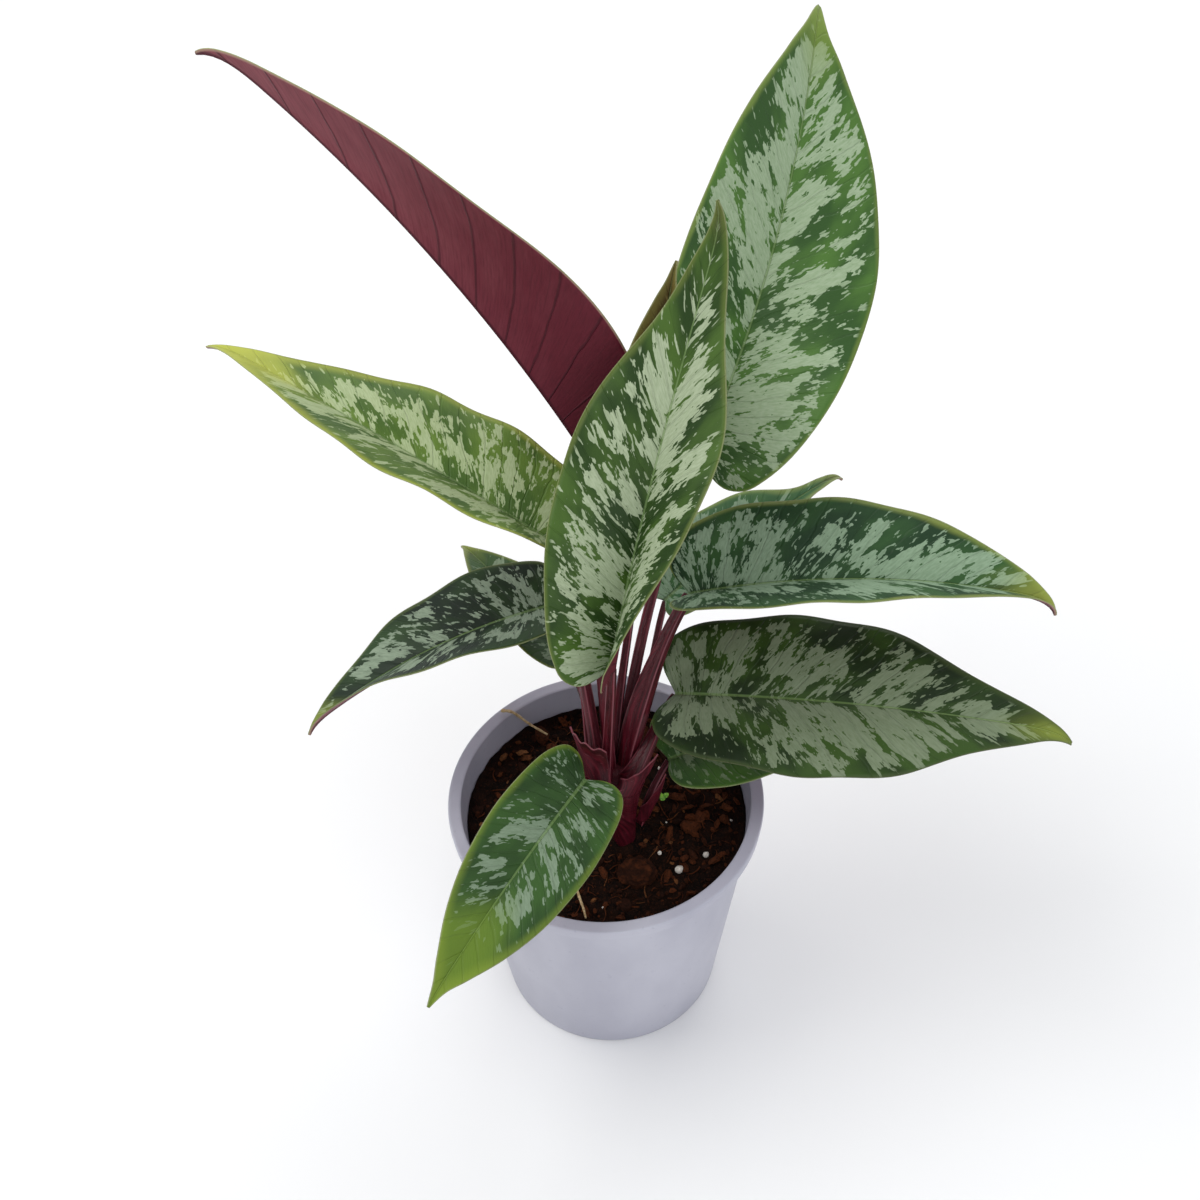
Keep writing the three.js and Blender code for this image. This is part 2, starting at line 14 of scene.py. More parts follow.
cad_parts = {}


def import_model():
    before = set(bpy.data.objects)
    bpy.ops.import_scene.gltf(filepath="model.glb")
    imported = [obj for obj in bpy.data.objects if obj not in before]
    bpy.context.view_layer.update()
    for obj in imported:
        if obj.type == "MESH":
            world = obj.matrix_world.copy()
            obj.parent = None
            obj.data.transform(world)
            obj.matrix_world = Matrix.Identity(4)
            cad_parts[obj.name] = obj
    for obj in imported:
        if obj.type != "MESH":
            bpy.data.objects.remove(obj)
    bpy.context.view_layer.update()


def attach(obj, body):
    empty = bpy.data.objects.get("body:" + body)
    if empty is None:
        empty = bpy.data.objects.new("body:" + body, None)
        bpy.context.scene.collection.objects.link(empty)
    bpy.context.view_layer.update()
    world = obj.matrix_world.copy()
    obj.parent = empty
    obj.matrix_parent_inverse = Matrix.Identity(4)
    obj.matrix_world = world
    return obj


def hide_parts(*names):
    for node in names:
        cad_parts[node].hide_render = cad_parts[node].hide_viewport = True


LOG = logging.getLogger("apoballis")

MM = 0.001

Point = tuple[float, float, float]
Colour = tuple[float, float, float, float]
Socket = bpy.types.NodeSocket
Look = bpy.types.Material
Mesh = bmesh.types.BMesh
Vert = bmesh.types.BMVert

# Heights in the frame
CROWN_TOP = 130.0
MIX_LEVEL = 98.0
# Blade: depths in millimetres, places as shares of its length or width
LEAF_THICKNESS = 0.8
LEAF_RELIEF = 0.35
MARGIN_SHARE = 0.45
KEEL_DEPTH = 1.3
KEEL_FADE = 0.85
KEEL_REACH = 0.2
VEIN_LEAD = 1.9
COLUMN_EASE = 1.15
HOOK_START = 0.85
HOOK_SPAN = 0.15
SIDE_PHASE = 0.37
TAIL_START = 0.5
TAIL_EASE = 1.3
TAIL_PINCH = 0.6
# Stalk: its swelling by share of length, its wings and channel by radians round it
SWELL_AT = 0.35
SWELL_REACH = 0.28
WING_TURN = 0.9
WING_SPREAD = 0.16
WING_SIZE = 0.32
CHANNEL_DEPTH = 0.30
CHANNEL_SPREAD = 0.55
FOOT_SINK = 0.6
NO_SEAM = 3.0
MERGE = 1e-4
# Names of the vertex attributes that the materials read
LEAF_SPACE = "leaf_space"
STALK_SPACE = "stalk_space"
TONE = "tone"
# Half a blade: place along the midrib and distance from it, as shares
HALF_OUTLINE = (
    (0, 0.07), (-0.03, 0.24), (-0.04, 0.48), (-0.012, 0.72), (0.075, 0.9), (0.22, 0.99),
    (0.38, 1), (0.56, 0.9), (0.73, 0.66), (0.86, 0.34), (0.93, 0.14), (1, 0.02),
)


class Slot(Enum):
    """The record's material slots."""

    POT = "pot"
    MIX = "potting_mix"
    STALK = "stalk"
    LEAF = "leaf_green"
    YOUNG = "young_leaf"
    ROOT = "root_strand"


@dataclass(frozen=True)
class Grain:
    """A layer of noise: its scale on the three axes, its detail, its warp and its weight."""

    scale: Point
    detail: float = 2.0
    rough: float = 0.5
    twist: float = 0.0
    weight: float = 1.0


# Layers of noise, in the piece's own millimetres but for the pot and the bark
PATCH_GRAINS = (
    Grain((0.042, 0.052, 0), weight=0.55),
    Grain((0.085, 0.15, 0), 3.0, 0.6, 0.5, weight=0.95),
    Grain((0.30, 0.62, 0), 3.0, 0.6, 0.3, weight=0.4),
)
DOTS = Grain((0.22, 0.50, 0), twist=0.3)
FLECKS = Grain((0.30, 0.55, 0), twist=0.3)
GREEN_CLOUD = Grain((0.05, 0.05, 0), 3.0)
FINE = Grain((0.5, 1.6, 0), 3.0)
UNDER_CLOUD = Grain((0.07, 0.12, 0), 3.0)
UNDER_STREAK = Grain((0.22, 1.1, 0), 3.0)
STALK_STREAK = Grain((1.1, 0.06, 0), 3.0, 0.6)
STALK_CLOUD = Grain((0.3, 0.12, 0))
POT_CLOUD = Grain((28, 28, 14), 4.0)
BARK_STREAK = Grain((900, 900, 2400), 4.0)


def tint(code: str) -> Colour:
    """Turns a screen colour into the linear colour that shaders use.

    Args:
        code: six hexadecimal digits, such as "3f6b3a".

    Returns:
        The linear red, green, blue and alpha.
    """
    channels = [int(code[i:i + 2], 16) / 255 for i in (0, 2, 4)]
    linear = [c / 12.92 if c <= 0.04045 else ((c + 0.055) / 1.055) ** 2.4 for c in channels]
    return (linear[0], linear[1], linear[2], 1.0)


def clamp01(value: float) -> float:
    """Holds a number between 0 and 1."""
    return min(1.0, max(0.0, value))


def blend(a: float, b: float, share: float) -> float:
    """Goes from a to b by a share."""
    return a + (b - a) * share


def smooth(value: float) -> float:
    """Eases a share between 0 and 1 at both ends."""
    held = clamp01(value)
    return held * held * (3 - 2 * held)


def catmull(points: Sequence[Point], share: float) -> Vector:
    """Finds a point on a smooth curve through points.

    Args:
        points: the points in order.
        share: how far along, from 0 to 1, even over the spans.

    Returns:
        The place on the curve.
    """
    spans = len(points) - 1
    at = clamp01(share) * spans
    i = min(int(at), spans - 1)
    t = at - i
    p1 = Vector(points[i])
    p2 = Vector(points[i + 1])
    p0 = Vector(points[i - 1]) if i > 0 else 2 * p1 - p2
    p3 = Vector(points[i + 2]) if i + 2 <= spans else 2 * p2 - p1
    m1 = (p2 - p0) * 0.5
    m2 = (p3 - p1) * 0.5
    swing = 2 * p1 - 2 * p2 + m1 + m2
    ease = -3 * p1 + 3 * p2 - 2 * m1 - m2
    return swing * t ** 3 + ease * t ** 2 + m1 * t + p1


def evenly(points: Sequence[Point], count: int, fine: int = 400) -> list[Vector]:
    """Spaces points evenly along a smooth curve.

    Args:
        points: the points that the curve runs through.
        count: how many spans to make.
        fine: how many steps measure the curve.

    Returns:
        count + 1 places, the ends among them.
    """
    trail = [catmull(points, i / fine) for i in range(fine + 1)]
    run = [0.0]
    for i in range(fine):
        run.append(run[-1] + (trail[i + 1] - trail[i]).length)
    spaced: list[Vector] = []
    i = 0
    for k in range(count + 1):
        goal = run[-1] * k / count
        while i < fine - 1 and run[i + 1] < goal:
            i += 1
        part = (goal - run[i]) / max(run[i + 1] - run[i], 1e-9)
        spaced.append(trail[i].lerp(trail[i + 1], clamp01(part)))
    return spaced


class NodeSheet:
    """One material's nodes, laid down by small steps."""

    def __init__(self, name: str) -> None:
        """Starts a material with a principled shader.

        Args:
            name: the material's name.
        """
        self.material = bpy.data.materials.new(name)
        self.material.use_nodes = True
        self.tree = self.material.node_tree
        self.tree.nodes.clear()
        output = self.tree.nodes.new("ShaderNodeOutputMaterial")
        self.shader = self.tree.nodes.new("ShaderNodeBsdfPrincipled")
        self.tree.links.new(self.shader.outputs[0], output.inputs["Surface"])

    def feed(self, target: Socket, source: object) -> None:
        """Links a socket, or sets it to a plain value.

        Args:
            target: the input socket.
            source: an output socket, a number or a colour.
        """
        if isinstance(source, Socket):
            self.tree.links.new(source, target)
        else:
            target.default_value = source

    def shade(self, **values: object) -> None:
        """Sets the shader's inputs by their names, with _ for a space.

        Args:
            values: what each input gets.
        """
        for key, value in values.items():
            self.feed(self.shader.inputs[key.replace("_", " ")], value)

    def attribute(self, name: str) -> Socket:
        """Reads a vector attribute of the piece."""
        node = self.tree.nodes.new("ShaderNodeAttribute")
        node.attribute_name = name
        return node.outputs["Vector"]

    def number(self, name: str) -> Socket:
        """Reads a number attribute of the piece."""
        node = self.tree.nodes.new("ShaderNodeAttribute")
        node.attribute_name = name
        return node.outputs["Fac"]

    def place(self) -> Socket:
        """Reads the object coordinates, in metres."""
        return self.tree.nodes.new("ShaderNodeTexCoord").outputs["Object"]

    def split(self, vector: Socket) -> list[Socket]:
        """Takes a vector apart into its three numbers."""
        node = self.tree.nodes.new("ShaderNodeSeparateXYZ")
        self.feed(node.inputs[0], vector)
        return list(node.outputs)

    def stretch(self, vector: Socket, scale: Point, shift: Point = (0, 0, 0)) -> Socket:
        """Scales and shifts a vector.

        Args:
            vector: what to change.
            scale: the factors on the three axes.
            shift: what is added after.

        Returns:
            The changed vector.
        """
        node = self.tree.nodes.new("ShaderNodeVectorMath")
        node.operation = "MULTIPLY_ADD"
        self.feed(node.inputs[0], vector)
        node.inputs[1].default_value = scale
        node.inputs[2].default_value = shift
        return node.outputs[0]

    def math(self, kind: str, a: object, b: object = 0.0, hold: bool = False) -> Socket:
        """Works out one step of arithmetic.

        Args:
            kind: the operation, in Blender's word.
            a: the first number or socket.
            b: the second number or socket.
            hold: whether the result stays between 0 and 1.

        Returns:
            The result.
        """
        node = self.tree.nodes.new("ShaderNodeMath")
        node.operation = kind
        node.use_clamp = hold
        self.feed(node.inputs[0], a)
        self.feed(node.inputs[1], b)
        return node.outputs[0]

    def step(self, value: object, low: float, high: float, end: float = 1.0) -> Socket:
        """Rises smoothly from 0 at low to end at high.

        Args:
            value: what is measured.
            low: where the rise starts.
            high: where it ends.
            end: the height that it reaches.

        Returns:
            The eased value.
        """
        node = self.tree.nodes.new("ShaderNodeMapRange")
        node.interpolation_type = "SMOOTHSTEP"
        self.feed(node.inputs["Value"], value)
        node.inputs["From Min"].default_value = low
        node.inputs["From Max"].default_value = high
        node.inputs["To Min"].default_value = 0.0
        node.inputs["To Max"].default_value = end
        return node.outputs["Result"]

    def speckle(self, vector: Socket, scale: float, detail: float = 2.0,
                rough: float = 0.5, twist: float = 0.0) -> Socket:
        """Reads a soft noise.

        Args:
            vector: where it is read.
            scale: how fine it is.
            detail: how many finer layers it has.
            rough: how strong those are.
            twist: how much it is warped by itself.

        Returns:
            The noise, about 0.5.
        """
        node = self.tree.nodes.new("ShaderNodeTexNoise")
        self.feed(node.inputs["Vector"], vector)
        node.inputs["Scale"].default_value = scale
        node.inputs["Detail"].default_value = detail
        node.inputs["Roughness"].default_value = rough
        node.inputs["Distortion"].default_value = twist
        return node.outputs["Fac"]

    def grain(self, vector: Socket, layer: Grain, shift: Point = (0, 0, 0)) -> Socket:
        """Reads a layer of noise, about 0.5, with the layer moved by shift."""
        place = self.stretch(vector, layer.scale, shift)
        return self.speckle(place, 1.0, layer.detail, layer.rough, layer.twist)

    def fall(self, value: object, low: float, high: float) -> Socket:
        """Falls smoothly from 1 at low to 0 at high."""
        return self.math("SUBTRACT", 1.0, self.step(value, low, high))

    def scaled(self, value: object, factor: float, base: float) -> Socket:
        """Works out value times factor plus base."""
        result = self.math("MULTIPLY_ADD", value, factor)
        result.node.inputs[2].default_value = base
        return result

    def cells(self, vector: Socket, scale: float) -> Socket:
        """Reads the distance to the nearest of scattered points.

        Args:
            vector: where it is read.
            scale: how close the points stand.

        Returns:
            The distance.
        """
        node = self.tree.nodes.new("ShaderNodeTexVoronoi")
        self.feed(node.inputs["Vector"], vector)
        node.inputs["Scale"].default_value = scale
        return node.outputs["Distance"]

    def mix(self, share: object, a: object, b: object) -> Socket:
        """Mixes two colours.

        Args:
            share: how much of the second.
            a: the first colour.
            b: the second colour.

        Returns:
            The mixed colour.
        """
        node = self.tree.nodes.new("ShaderNodeMix")
        node.data_type = "RGBA"
        self.feed(node.inputs[0], share)
        self.feed(node.inputs[6], a)
        self.feed(node.inputs[7], b)
        return node.outputs[2]

    def lay(self, face: object, code: str, mask: object, share: float = 1.0) -> Socket:
        """Lays a colour over a face, as far as a mask and a share let it show."""
        return self.mix(self.math("MULTIPLY", mask, share), face, tint(code))

    def bump(self, height: Socket, depth_mm: float, strength: float = 1.0) -> None:
        """Adds relief to the shader's surface.

        Args:
            height: the relief, from 0 to 1.
            depth_mm: how deep a step of 1 is.
            strength: how much of it shows.
        """
        node = self.tree.nodes.new("ShaderNodeBump")
        node.inputs["Strength"].default_value = strength
        node.inputs["Distance"].default_value = depth_mm * MM
        self.feed(node.inputs["Height"], height)
        self.tree.links.new(node.outputs["Normal"], self.shader.inputs["Normal"])

    def ridge(self, along: Socket, spacing: float, width: float) -> Socket:
        """Draws thin lines at an even spacing.

        Args:
            along: the distance that the lines are counted by, in millimetres.
            spacing: from line to line.
            width: of one line.

        Returns:
            1 on a line, 0 off it.
        """
        turns = self.math("DIVIDE", along, spacing)
        part = self.math("FRACT", turns)
        off = self.math("ABSOLUTE", self.math("SUBTRACT", part, 0.5))
        away = self.math("MULTIPLY", off, spacing)
        return self.fall(away, 0.15 * width, width)


@dataclass(frozen=True)
class LeafMarks:
    """How one leaf's upper face is coloured."""

    seed: float = 0.0
    silver: float = 0.5
    dark: str = "29472c"
    light: str = "4a7038"
    patch: str = "a9b8a4"
    rim: str = "9fae5c"
    rim_reach: float = 1.8
    tip_start: float = 0.86
    tip: str = "8f9c3e"
    rib: str = "6f8a52"
    line: str = "8f946a"
    veins: int = 21

    def material(self, name: str, length: float) -> Look:
        """Builds the upper face: green, silver patches along the side veins, pale rib and margin.

        Args:
            name: the material's name.
            length: the blade's length in millimetres.

        Returns:
            The material.
        """
        sheet = NodeSheet(name)
        space = sheet.attribute(LEAF_SPACE)
        across, along, edge = sheet.split(space)
        off = sheet.math("ABSOLUTE", across)
        shift = (self.seed * 3.1, self.seed * 7.7, self.seed)
        cloud = sheet.grain(space, GREEN_CLOUD, shift)
        fine = sheet.grain(space, FINE, shift)
        patch = self.patches(sheet, space, shift, off, edge)
        green = sheet.mix(sheet.step(cloud, 0.36, 0.66), tint(self.dark), tint(self.light))
        silver = sheet.mix(sheet.step(fine, 0.3, 0.75, 0.28), tint(self.patch), tint(self.light))
        face = sheet.mix(patch, green, silver)
        rib_width = sheet.math("SUBTRACT", 1.0, sheet.math("MULTIPLY", along, 0.7 / length))
        rib = sheet.fall(sheet.math("DIVIDE", off, rib_width), 0.55, 1.15)
        face = sheet.lay(face, self.rib, rib, 0.6)
        vein_gap = length / self.veins
        veins = sheet.ridge(sheet.math("ADD", along, sheet.math("MULTIPLY", cloud, 9.0)), vein_gap, 0.5)
        face = sheet.lay(face, self.dark, veins, 0.07)
        wobble = sheet.math("MULTIPLY", sheet.math("SUBTRACT", cloud, 0.5), 4.0)
        glow = sheet.fall(sheet.math("ADD", edge, wobble), 0.0, self.rim_reach)
        tip_at = sheet.math("ADD", along, sheet.math("MULTIPLY", wobble, 5.0))
        tip = sheet.step(tip_at, self.tip_start * length, (self.tip_start + 0.14) * length)
        face = sheet.lay(face, self.tip, tip, 0.75)
        face = sheet.lay(face, self.rim, glow, 0.5)
        face = sheet.lay(face, self.line, sheet.fall(edge, 0.12, 0.35), 0.6)
        relief = sheet.math("ADD", sheet.math("MULTIPLY", fine, 0.35), sheet.math("MULTIPLY", veins, -0.5))
        relief = sheet.math("SUBTRACT", relief, sheet.math("MULTIPLY", rib, 0.9))
        gloss = sheet.scaled(patch, 0.08, 0.46)
        sheet.shade(Base_Color=face, Roughness=gloss, Specular_IOR_Level=0.24)
        sheet.bump(relief, LEAF_RELIEF)
        return sheet.material

    def patches(self, sheet: NodeSheet, space: Socket, shift: Point, off: Socket, edge: Socket) -> Socket:
        """Draws the silver: ragged patches along the side veins, dots, and green flecks in them.

        Args:
            sheet: the material's nodes.
            space: the blade's own coordinates.
            shift: how far the noise is moved for this leaf.
            off: the distance from the midrib, in millimetres.
            edge: the distance from the margin.

        Returns:
            1 in the silver, 0 in the green.
        """
        total: object = 0.0
        for layer in PATCH_GRAINS:
            share = sheet.math("MULTIPLY", sheet.grain(space, layer, shift), layer.weight)
            total = sheet.math("ADD", total, share)
        inside = sheet.step(edge, 0.6, 6.5, 0.15)
        near_rib = sheet.math("MULTIPLY", sheet.step(off, 0.4, 3.5), 0.05)
        outer = sheet.math("MULTIPLY", sheet.step(off, 9.0, 26.0), 0.05)
        total = sheet.math("ADD", total, sheet.math("ADD", inside, near_rib))
        total = sheet.math("SUBTRACT", total, outer)
        level = 1.30 - 0.22 * self.silver
        patch = sheet.step(total, level - 0.010, level + 0.014)
        dots = sheet.grain(space, DOTS, (shift[1], shift[0], 2.0))
        dots_level = 0.645 - 0.05 * self.silver
        dot = sheet.step(dots, dots_level, dots_level + 0.02)
        dot = sheet.math("MULTIPLY", dot, sheet.step(edge, 1.0, 2.5))
        patch = sheet.math("MAXIMUM", patch, sheet.math("MULTIPLY", dot, 0.85))
        flecks = sheet.grain(space, FLECKS, (shift[0], shift[1], 5.0))
        return sheet.math("SUBTRACT", patch, sheet.step(flecks, 0.66, 0.69, 0.85), True)


@dataclass(frozen=True)
class Underside:
    """A leaf's wine-red lower face."""

    body: str = "5f1c2a"
    pale: str = "82414a"
    vein: str = "38101b"
    rib: str = "431220"
    margin: str = "a88b78"
    veins: int = 12
    minor_veins: int = 60

    def material(self, name: str, length: float) -> Look:
        """Builds the lower face: wine red, dark veins, a dark rib and a pale brown margin.

        Args:
            name: the material's name.
            length: the blade's length in millimetres.

        Returns:
            The material.
        """
        sheet = NodeSheet(name)
        space = sheet.attribute(LEAF_SPACE)
        across, along, edge = sheet.split(space)
        off = sheet.math("ABSOLUTE", across)
        cloud = sheet.grain(space, UNDER_CLOUD)
        streak = sheet.grain(space, UNDER_STREAK)
        to_tip = sheet.math("ADD", sheet.math("DIVIDE", along, length), sheet.math("MULTIPLY", cloud, 0.5))
        face = sheet.mix(sheet.step(to_tip, 0.5, 1.3), tint(self.body), tint(self.pale))
        face = sheet.lay(face, self.vein, sheet.step(streak, 0.35, 0.8, 0.3))
        wander = sheet.math("MULTIPLY", sheet.math("SUBTRACT", cloud, 0.5), 3.0)
        veins = sheet.ridge(sheet.math("ADD", along, wander), length / self.veins, 0.75)
        face = sheet.lay(face, self.vein, veins, 0.6)
        face = sheet.lay(face, self.vein, sheet.ridge(along, length / self.minor_veins, 0.35), 0.14)
        face = sheet.lay(face, self.rib, sheet.fall(off, 0.7, 1.6), 0.85)
        face = sheet.lay(face, self.margin, sheet.fall(edge, 0.3, 0.8), 0.75)
        relief = sheet.math("ADD", sheet.math("MULTIPLY", streak, 0.3), sheet.math("MULTIPLY", veins, 0.8))
        sheet.shade(Base_Color=face, Roughness=0.55, Specular_IOR_Level=0.2)
        sheet.bump(relief, LEAF_RELIEF)
        return sheet.material


@dataclass(frozen=True)
class StalkFinish:
    """Wine-red stalk tissue with paler pink edges."""

    deep: str = "30060f"
    bright: str = "5c1522"
    flush: str = "752634"
    freckle: str = "a86a70"
    edge: str = "93505a"

    def material(self, name: str) -> Look:
        """Builds the finish. The piece's attribute holds turn, length and distance from its wing.

        Args:
            name: the material's name.

        Returns:
            The material.
        """
        sheet = NodeSheet(name)
        space = sheet.attribute(STALK_SPACE)
        _, along, wing = sheet.split(space)
        streak = sheet.grain(space, STALK_STREAK)
        cloud = sheet.grain(space, STALK_CLOUD)
        freckles = sheet.cells(sheet.stretch(space, (0.9, 0.9, 0)), 1.0)
        face = sheet.mix(sheet.step(streak, 0.34, 0.7), tint(self.deep), tint(self.bright))
        face = sheet.lay(face, self.flush, sheet.step(cloud, 0.5, 0.8, 0.3))
        face = sheet.lay(face, self.freckle, sheet.fall(freckles, 0.08, 0.16), 0.25)
        face = sheet.lay(face, self.edge, sheet.fall(wing, 0.12, 0.34), 0.55)
        sheet.shade(Base_Color=face, Roughness=0.4, Specular_IOR_Level=0.3)
        sheet.bump(streak, 0.25)
        return sheet.material


@dataclass(frozen=True)
class PotFinish:
    """Matte blue-grey moulded plastic."""

    body: str = "a8a8b6"
    worn: str = "b8b8c4"
    dust: str = "85859a"

    def material(self, name: str) -> Look:
        """Builds the plastic: faint flow clouds, dust and a fine moulded grain.

        Args:
            name: the material's name.

        Returns:
            The material.
        """
        sheet = NodeSheet(name)
        place = sheet.place()
        cloud = sheet.grain(place, POT_CLOUD)
        dust = sheet.speckle(place, 420.0, 3.0, 0.6)
        grain = sheet.speckle(place, 2600.0, 2.0)
        face = sheet.mix(sheet.step(cloud, 0.35, 0.7), tint(self.body), tint(self.worn))
        face = sheet.lay(face, self.dust, sheet.step(dust, 0.62, 0.74, 0.25))
        sheet.shade(Base_Color=face, Roughness=sheet.scaled(cloud, 0.2, 0.36))
        sheet.bump(grain, 0.05, 0.6)
        return sheet.material


@dataclass(frozen=True)
class EarthFinish:
    """Potting mix: black-brown crumb, or fibres and chips by the piece's tone attribute."""

    dark: str = "0c0705"
    mid: str = "20110a"
    light: str = "4a2818"
    dry: str = "8a5c38"
    use_tone: bool = False

    def material(self, name: str) -> Look:
        """Builds the crumb.

        Args:
            name: the material's name.

        Returns:
            The material.
        """
        sheet = NodeSheet(name)
        place = sheet.place()
        lumps = sheet.speckle(place, 260.0, 5.0, 0.65)
        grit = sheet.speckle(place, 1500.0, 4.0, 0.7)
        face = sheet.mix(sheet.step(lumps, 0.38, 0.62), tint(self.dark), tint(self.mid))
        face = sheet.lay(face, self.light, sheet.step(grit, 0.52, 0.72, 0.7))
        if self.use_tone:
            tone = sheet.number(TONE)
            streak = sheet.grain(place, BARK_STREAK)
            own = sheet.mix(sheet.step(tone, 0.2, 0.65), tint(self.mid), tint(self.light))
            own = sheet.lay(own, self.dry, sheet.step(tone, 0.82, 1.0))
            own = sheet.lay(own, self.dark, sheet.step(streak, 0.4, 0.7, 0.6))
            face = sheet.mix(0.85, face, own)
        sheet.shade(Base_Color=face, Roughness=0.95, Specular_IOR_Level=0.12)
        sheet.bump(grit, 0.6)
        return sheet.material


@dataclass(frozen=True)
class PlainNatural:
    """A small natural piece: two tones mixed by a fine noise."""

    first: str
    second: str
    grain: float = 900.0
    gloss: float = 0.8
    depth: float = 0.2

    def material(self, name: str) -> Look:
        """Builds the finish.

        Args:
            name: the material's name.

        Returns:
            The material.
        """
        sheet = NodeSheet(name)
        cloud = sheet.speckle(sheet.place(), self.grain, 4.0, 0.6)
        sheet.shade(
            Base_Color=sheet.mix(sheet.step(cloud, 0.35, 0.68), tint(self.first), tint(self.second)),
            Roughness=self.gloss,
        )
        sheet.bump(cloud, self.depth)
        return sheet.material


def mesh_data(name: str, mesh: Mesh) -> bpy.types.Mesh:
    """Turns a mesh in work into mesh data, and frees it."""
    data = bpy.data.meshes.new(name)
    mesh.to_mesh(data)
    mesh.free()
    return data


def put(name: str, data: object) -> bpy.types.Object:
    """Puts an object into the scene."""
    made = bpy.data.objects.new(name, data)
    bpy.context.scene.collection.objects.link(made)
    return made


class Bench:
    """Turns bmeshes into finished pieces on the frame."""

    def piece(self, name: str, mesh: Mesh, materials: Sequence[Look],
              replaced: Sequence[str] = ()) -> bpy.types.Object:
        """Makes an object of a mesh that is in millimetres.

        Args:
            name: the piece's name.
            mesh: the mesh, which is freed.
            materials: its materials in slot order.
            replaced: the CAD nodes that it stands for.

        Returns:
            The object.
        """
        bmesh.ops.scale(mesh, vec=(MM, MM, MM), verts=mesh.verts)
        data = mesh_data(name, mesh)
        data.shade_smooth()
        for material in materials:
            data.materials.append(material)
        made = put(name, data)
        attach(made, "root")
        names = list(replaced)
        if names:
            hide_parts(*names)
        LOG.info("%s: %d faces", name, len(data.polygons))
        return made


def sheet_grid(mesh: Mesh, columns: int, rows: int) -> list[tuple[Vert, float, float]]:
    """Lays a grid. Each vertex comes with its place across and along, from 0 to 1."""
    made = bmesh.ops.create_grid(mesh, x_segments=columns, y_segments=rows, size=1.0)
    return [(v, (v.co.x + 1) / 2, (v.co.y + 1) / 2) for v in made["verts"]]


def close_sheet(mesh: Mesh, offset: Callable[[Vert], Vector]) -> None:
    """Gives a sheet its second face and its rim. The second face gets material 1.

    Args:
        mesh: the mesh, which holds one open sheet.
        offset: how far each vertex's twin lies from it.
    """
    fronts = list(mesh.verts)
    shifts = [offset(v) for v in fronts]
    front_edges = [e for e in mesh.edges if e.is_boundary]
    copy = bmesh.ops.duplicate(mesh, geom=list(mesh.verts) + list(mesh.edges) + list(mesh.faces))
    twin = copy["vert_map"]
    for v, shift in zip(fronts, shifts):
        twin[v].co = v.co + shift
    back_faces = [f for f in copy["geom"] if isinstance(f, bmesh.types.BMFace)]
    for f in back_faces:
        f.material_index = 1
    bmesh.ops.reverse_faces(mesh, faces=back_faces)
    back_edges = [copy["edge_map"][e] for e in front_edges]
    bmesh.ops.bridge_loops(mesh, edges=front_edges + back_edges)
    bmesh.ops.recalc_face_normals(mesh, faces=mesh.faces)


def close_tube(mesh: Mesh, verts: Sequence[Vert]) -> None:
    """Joins a tube's seam and fills its two ends.

    Args:
        mesh: the mesh that holds the tube.
        verts: the tube's vertices.
    """
    bmesh.ops.remove_doubles(mesh, verts=verts, dist=MERGE)
    rims = [e for e in mesh.edges if e.is_boundary]
    bmesh.ops.holes_fill(mesh, edges=rims, sides=0)


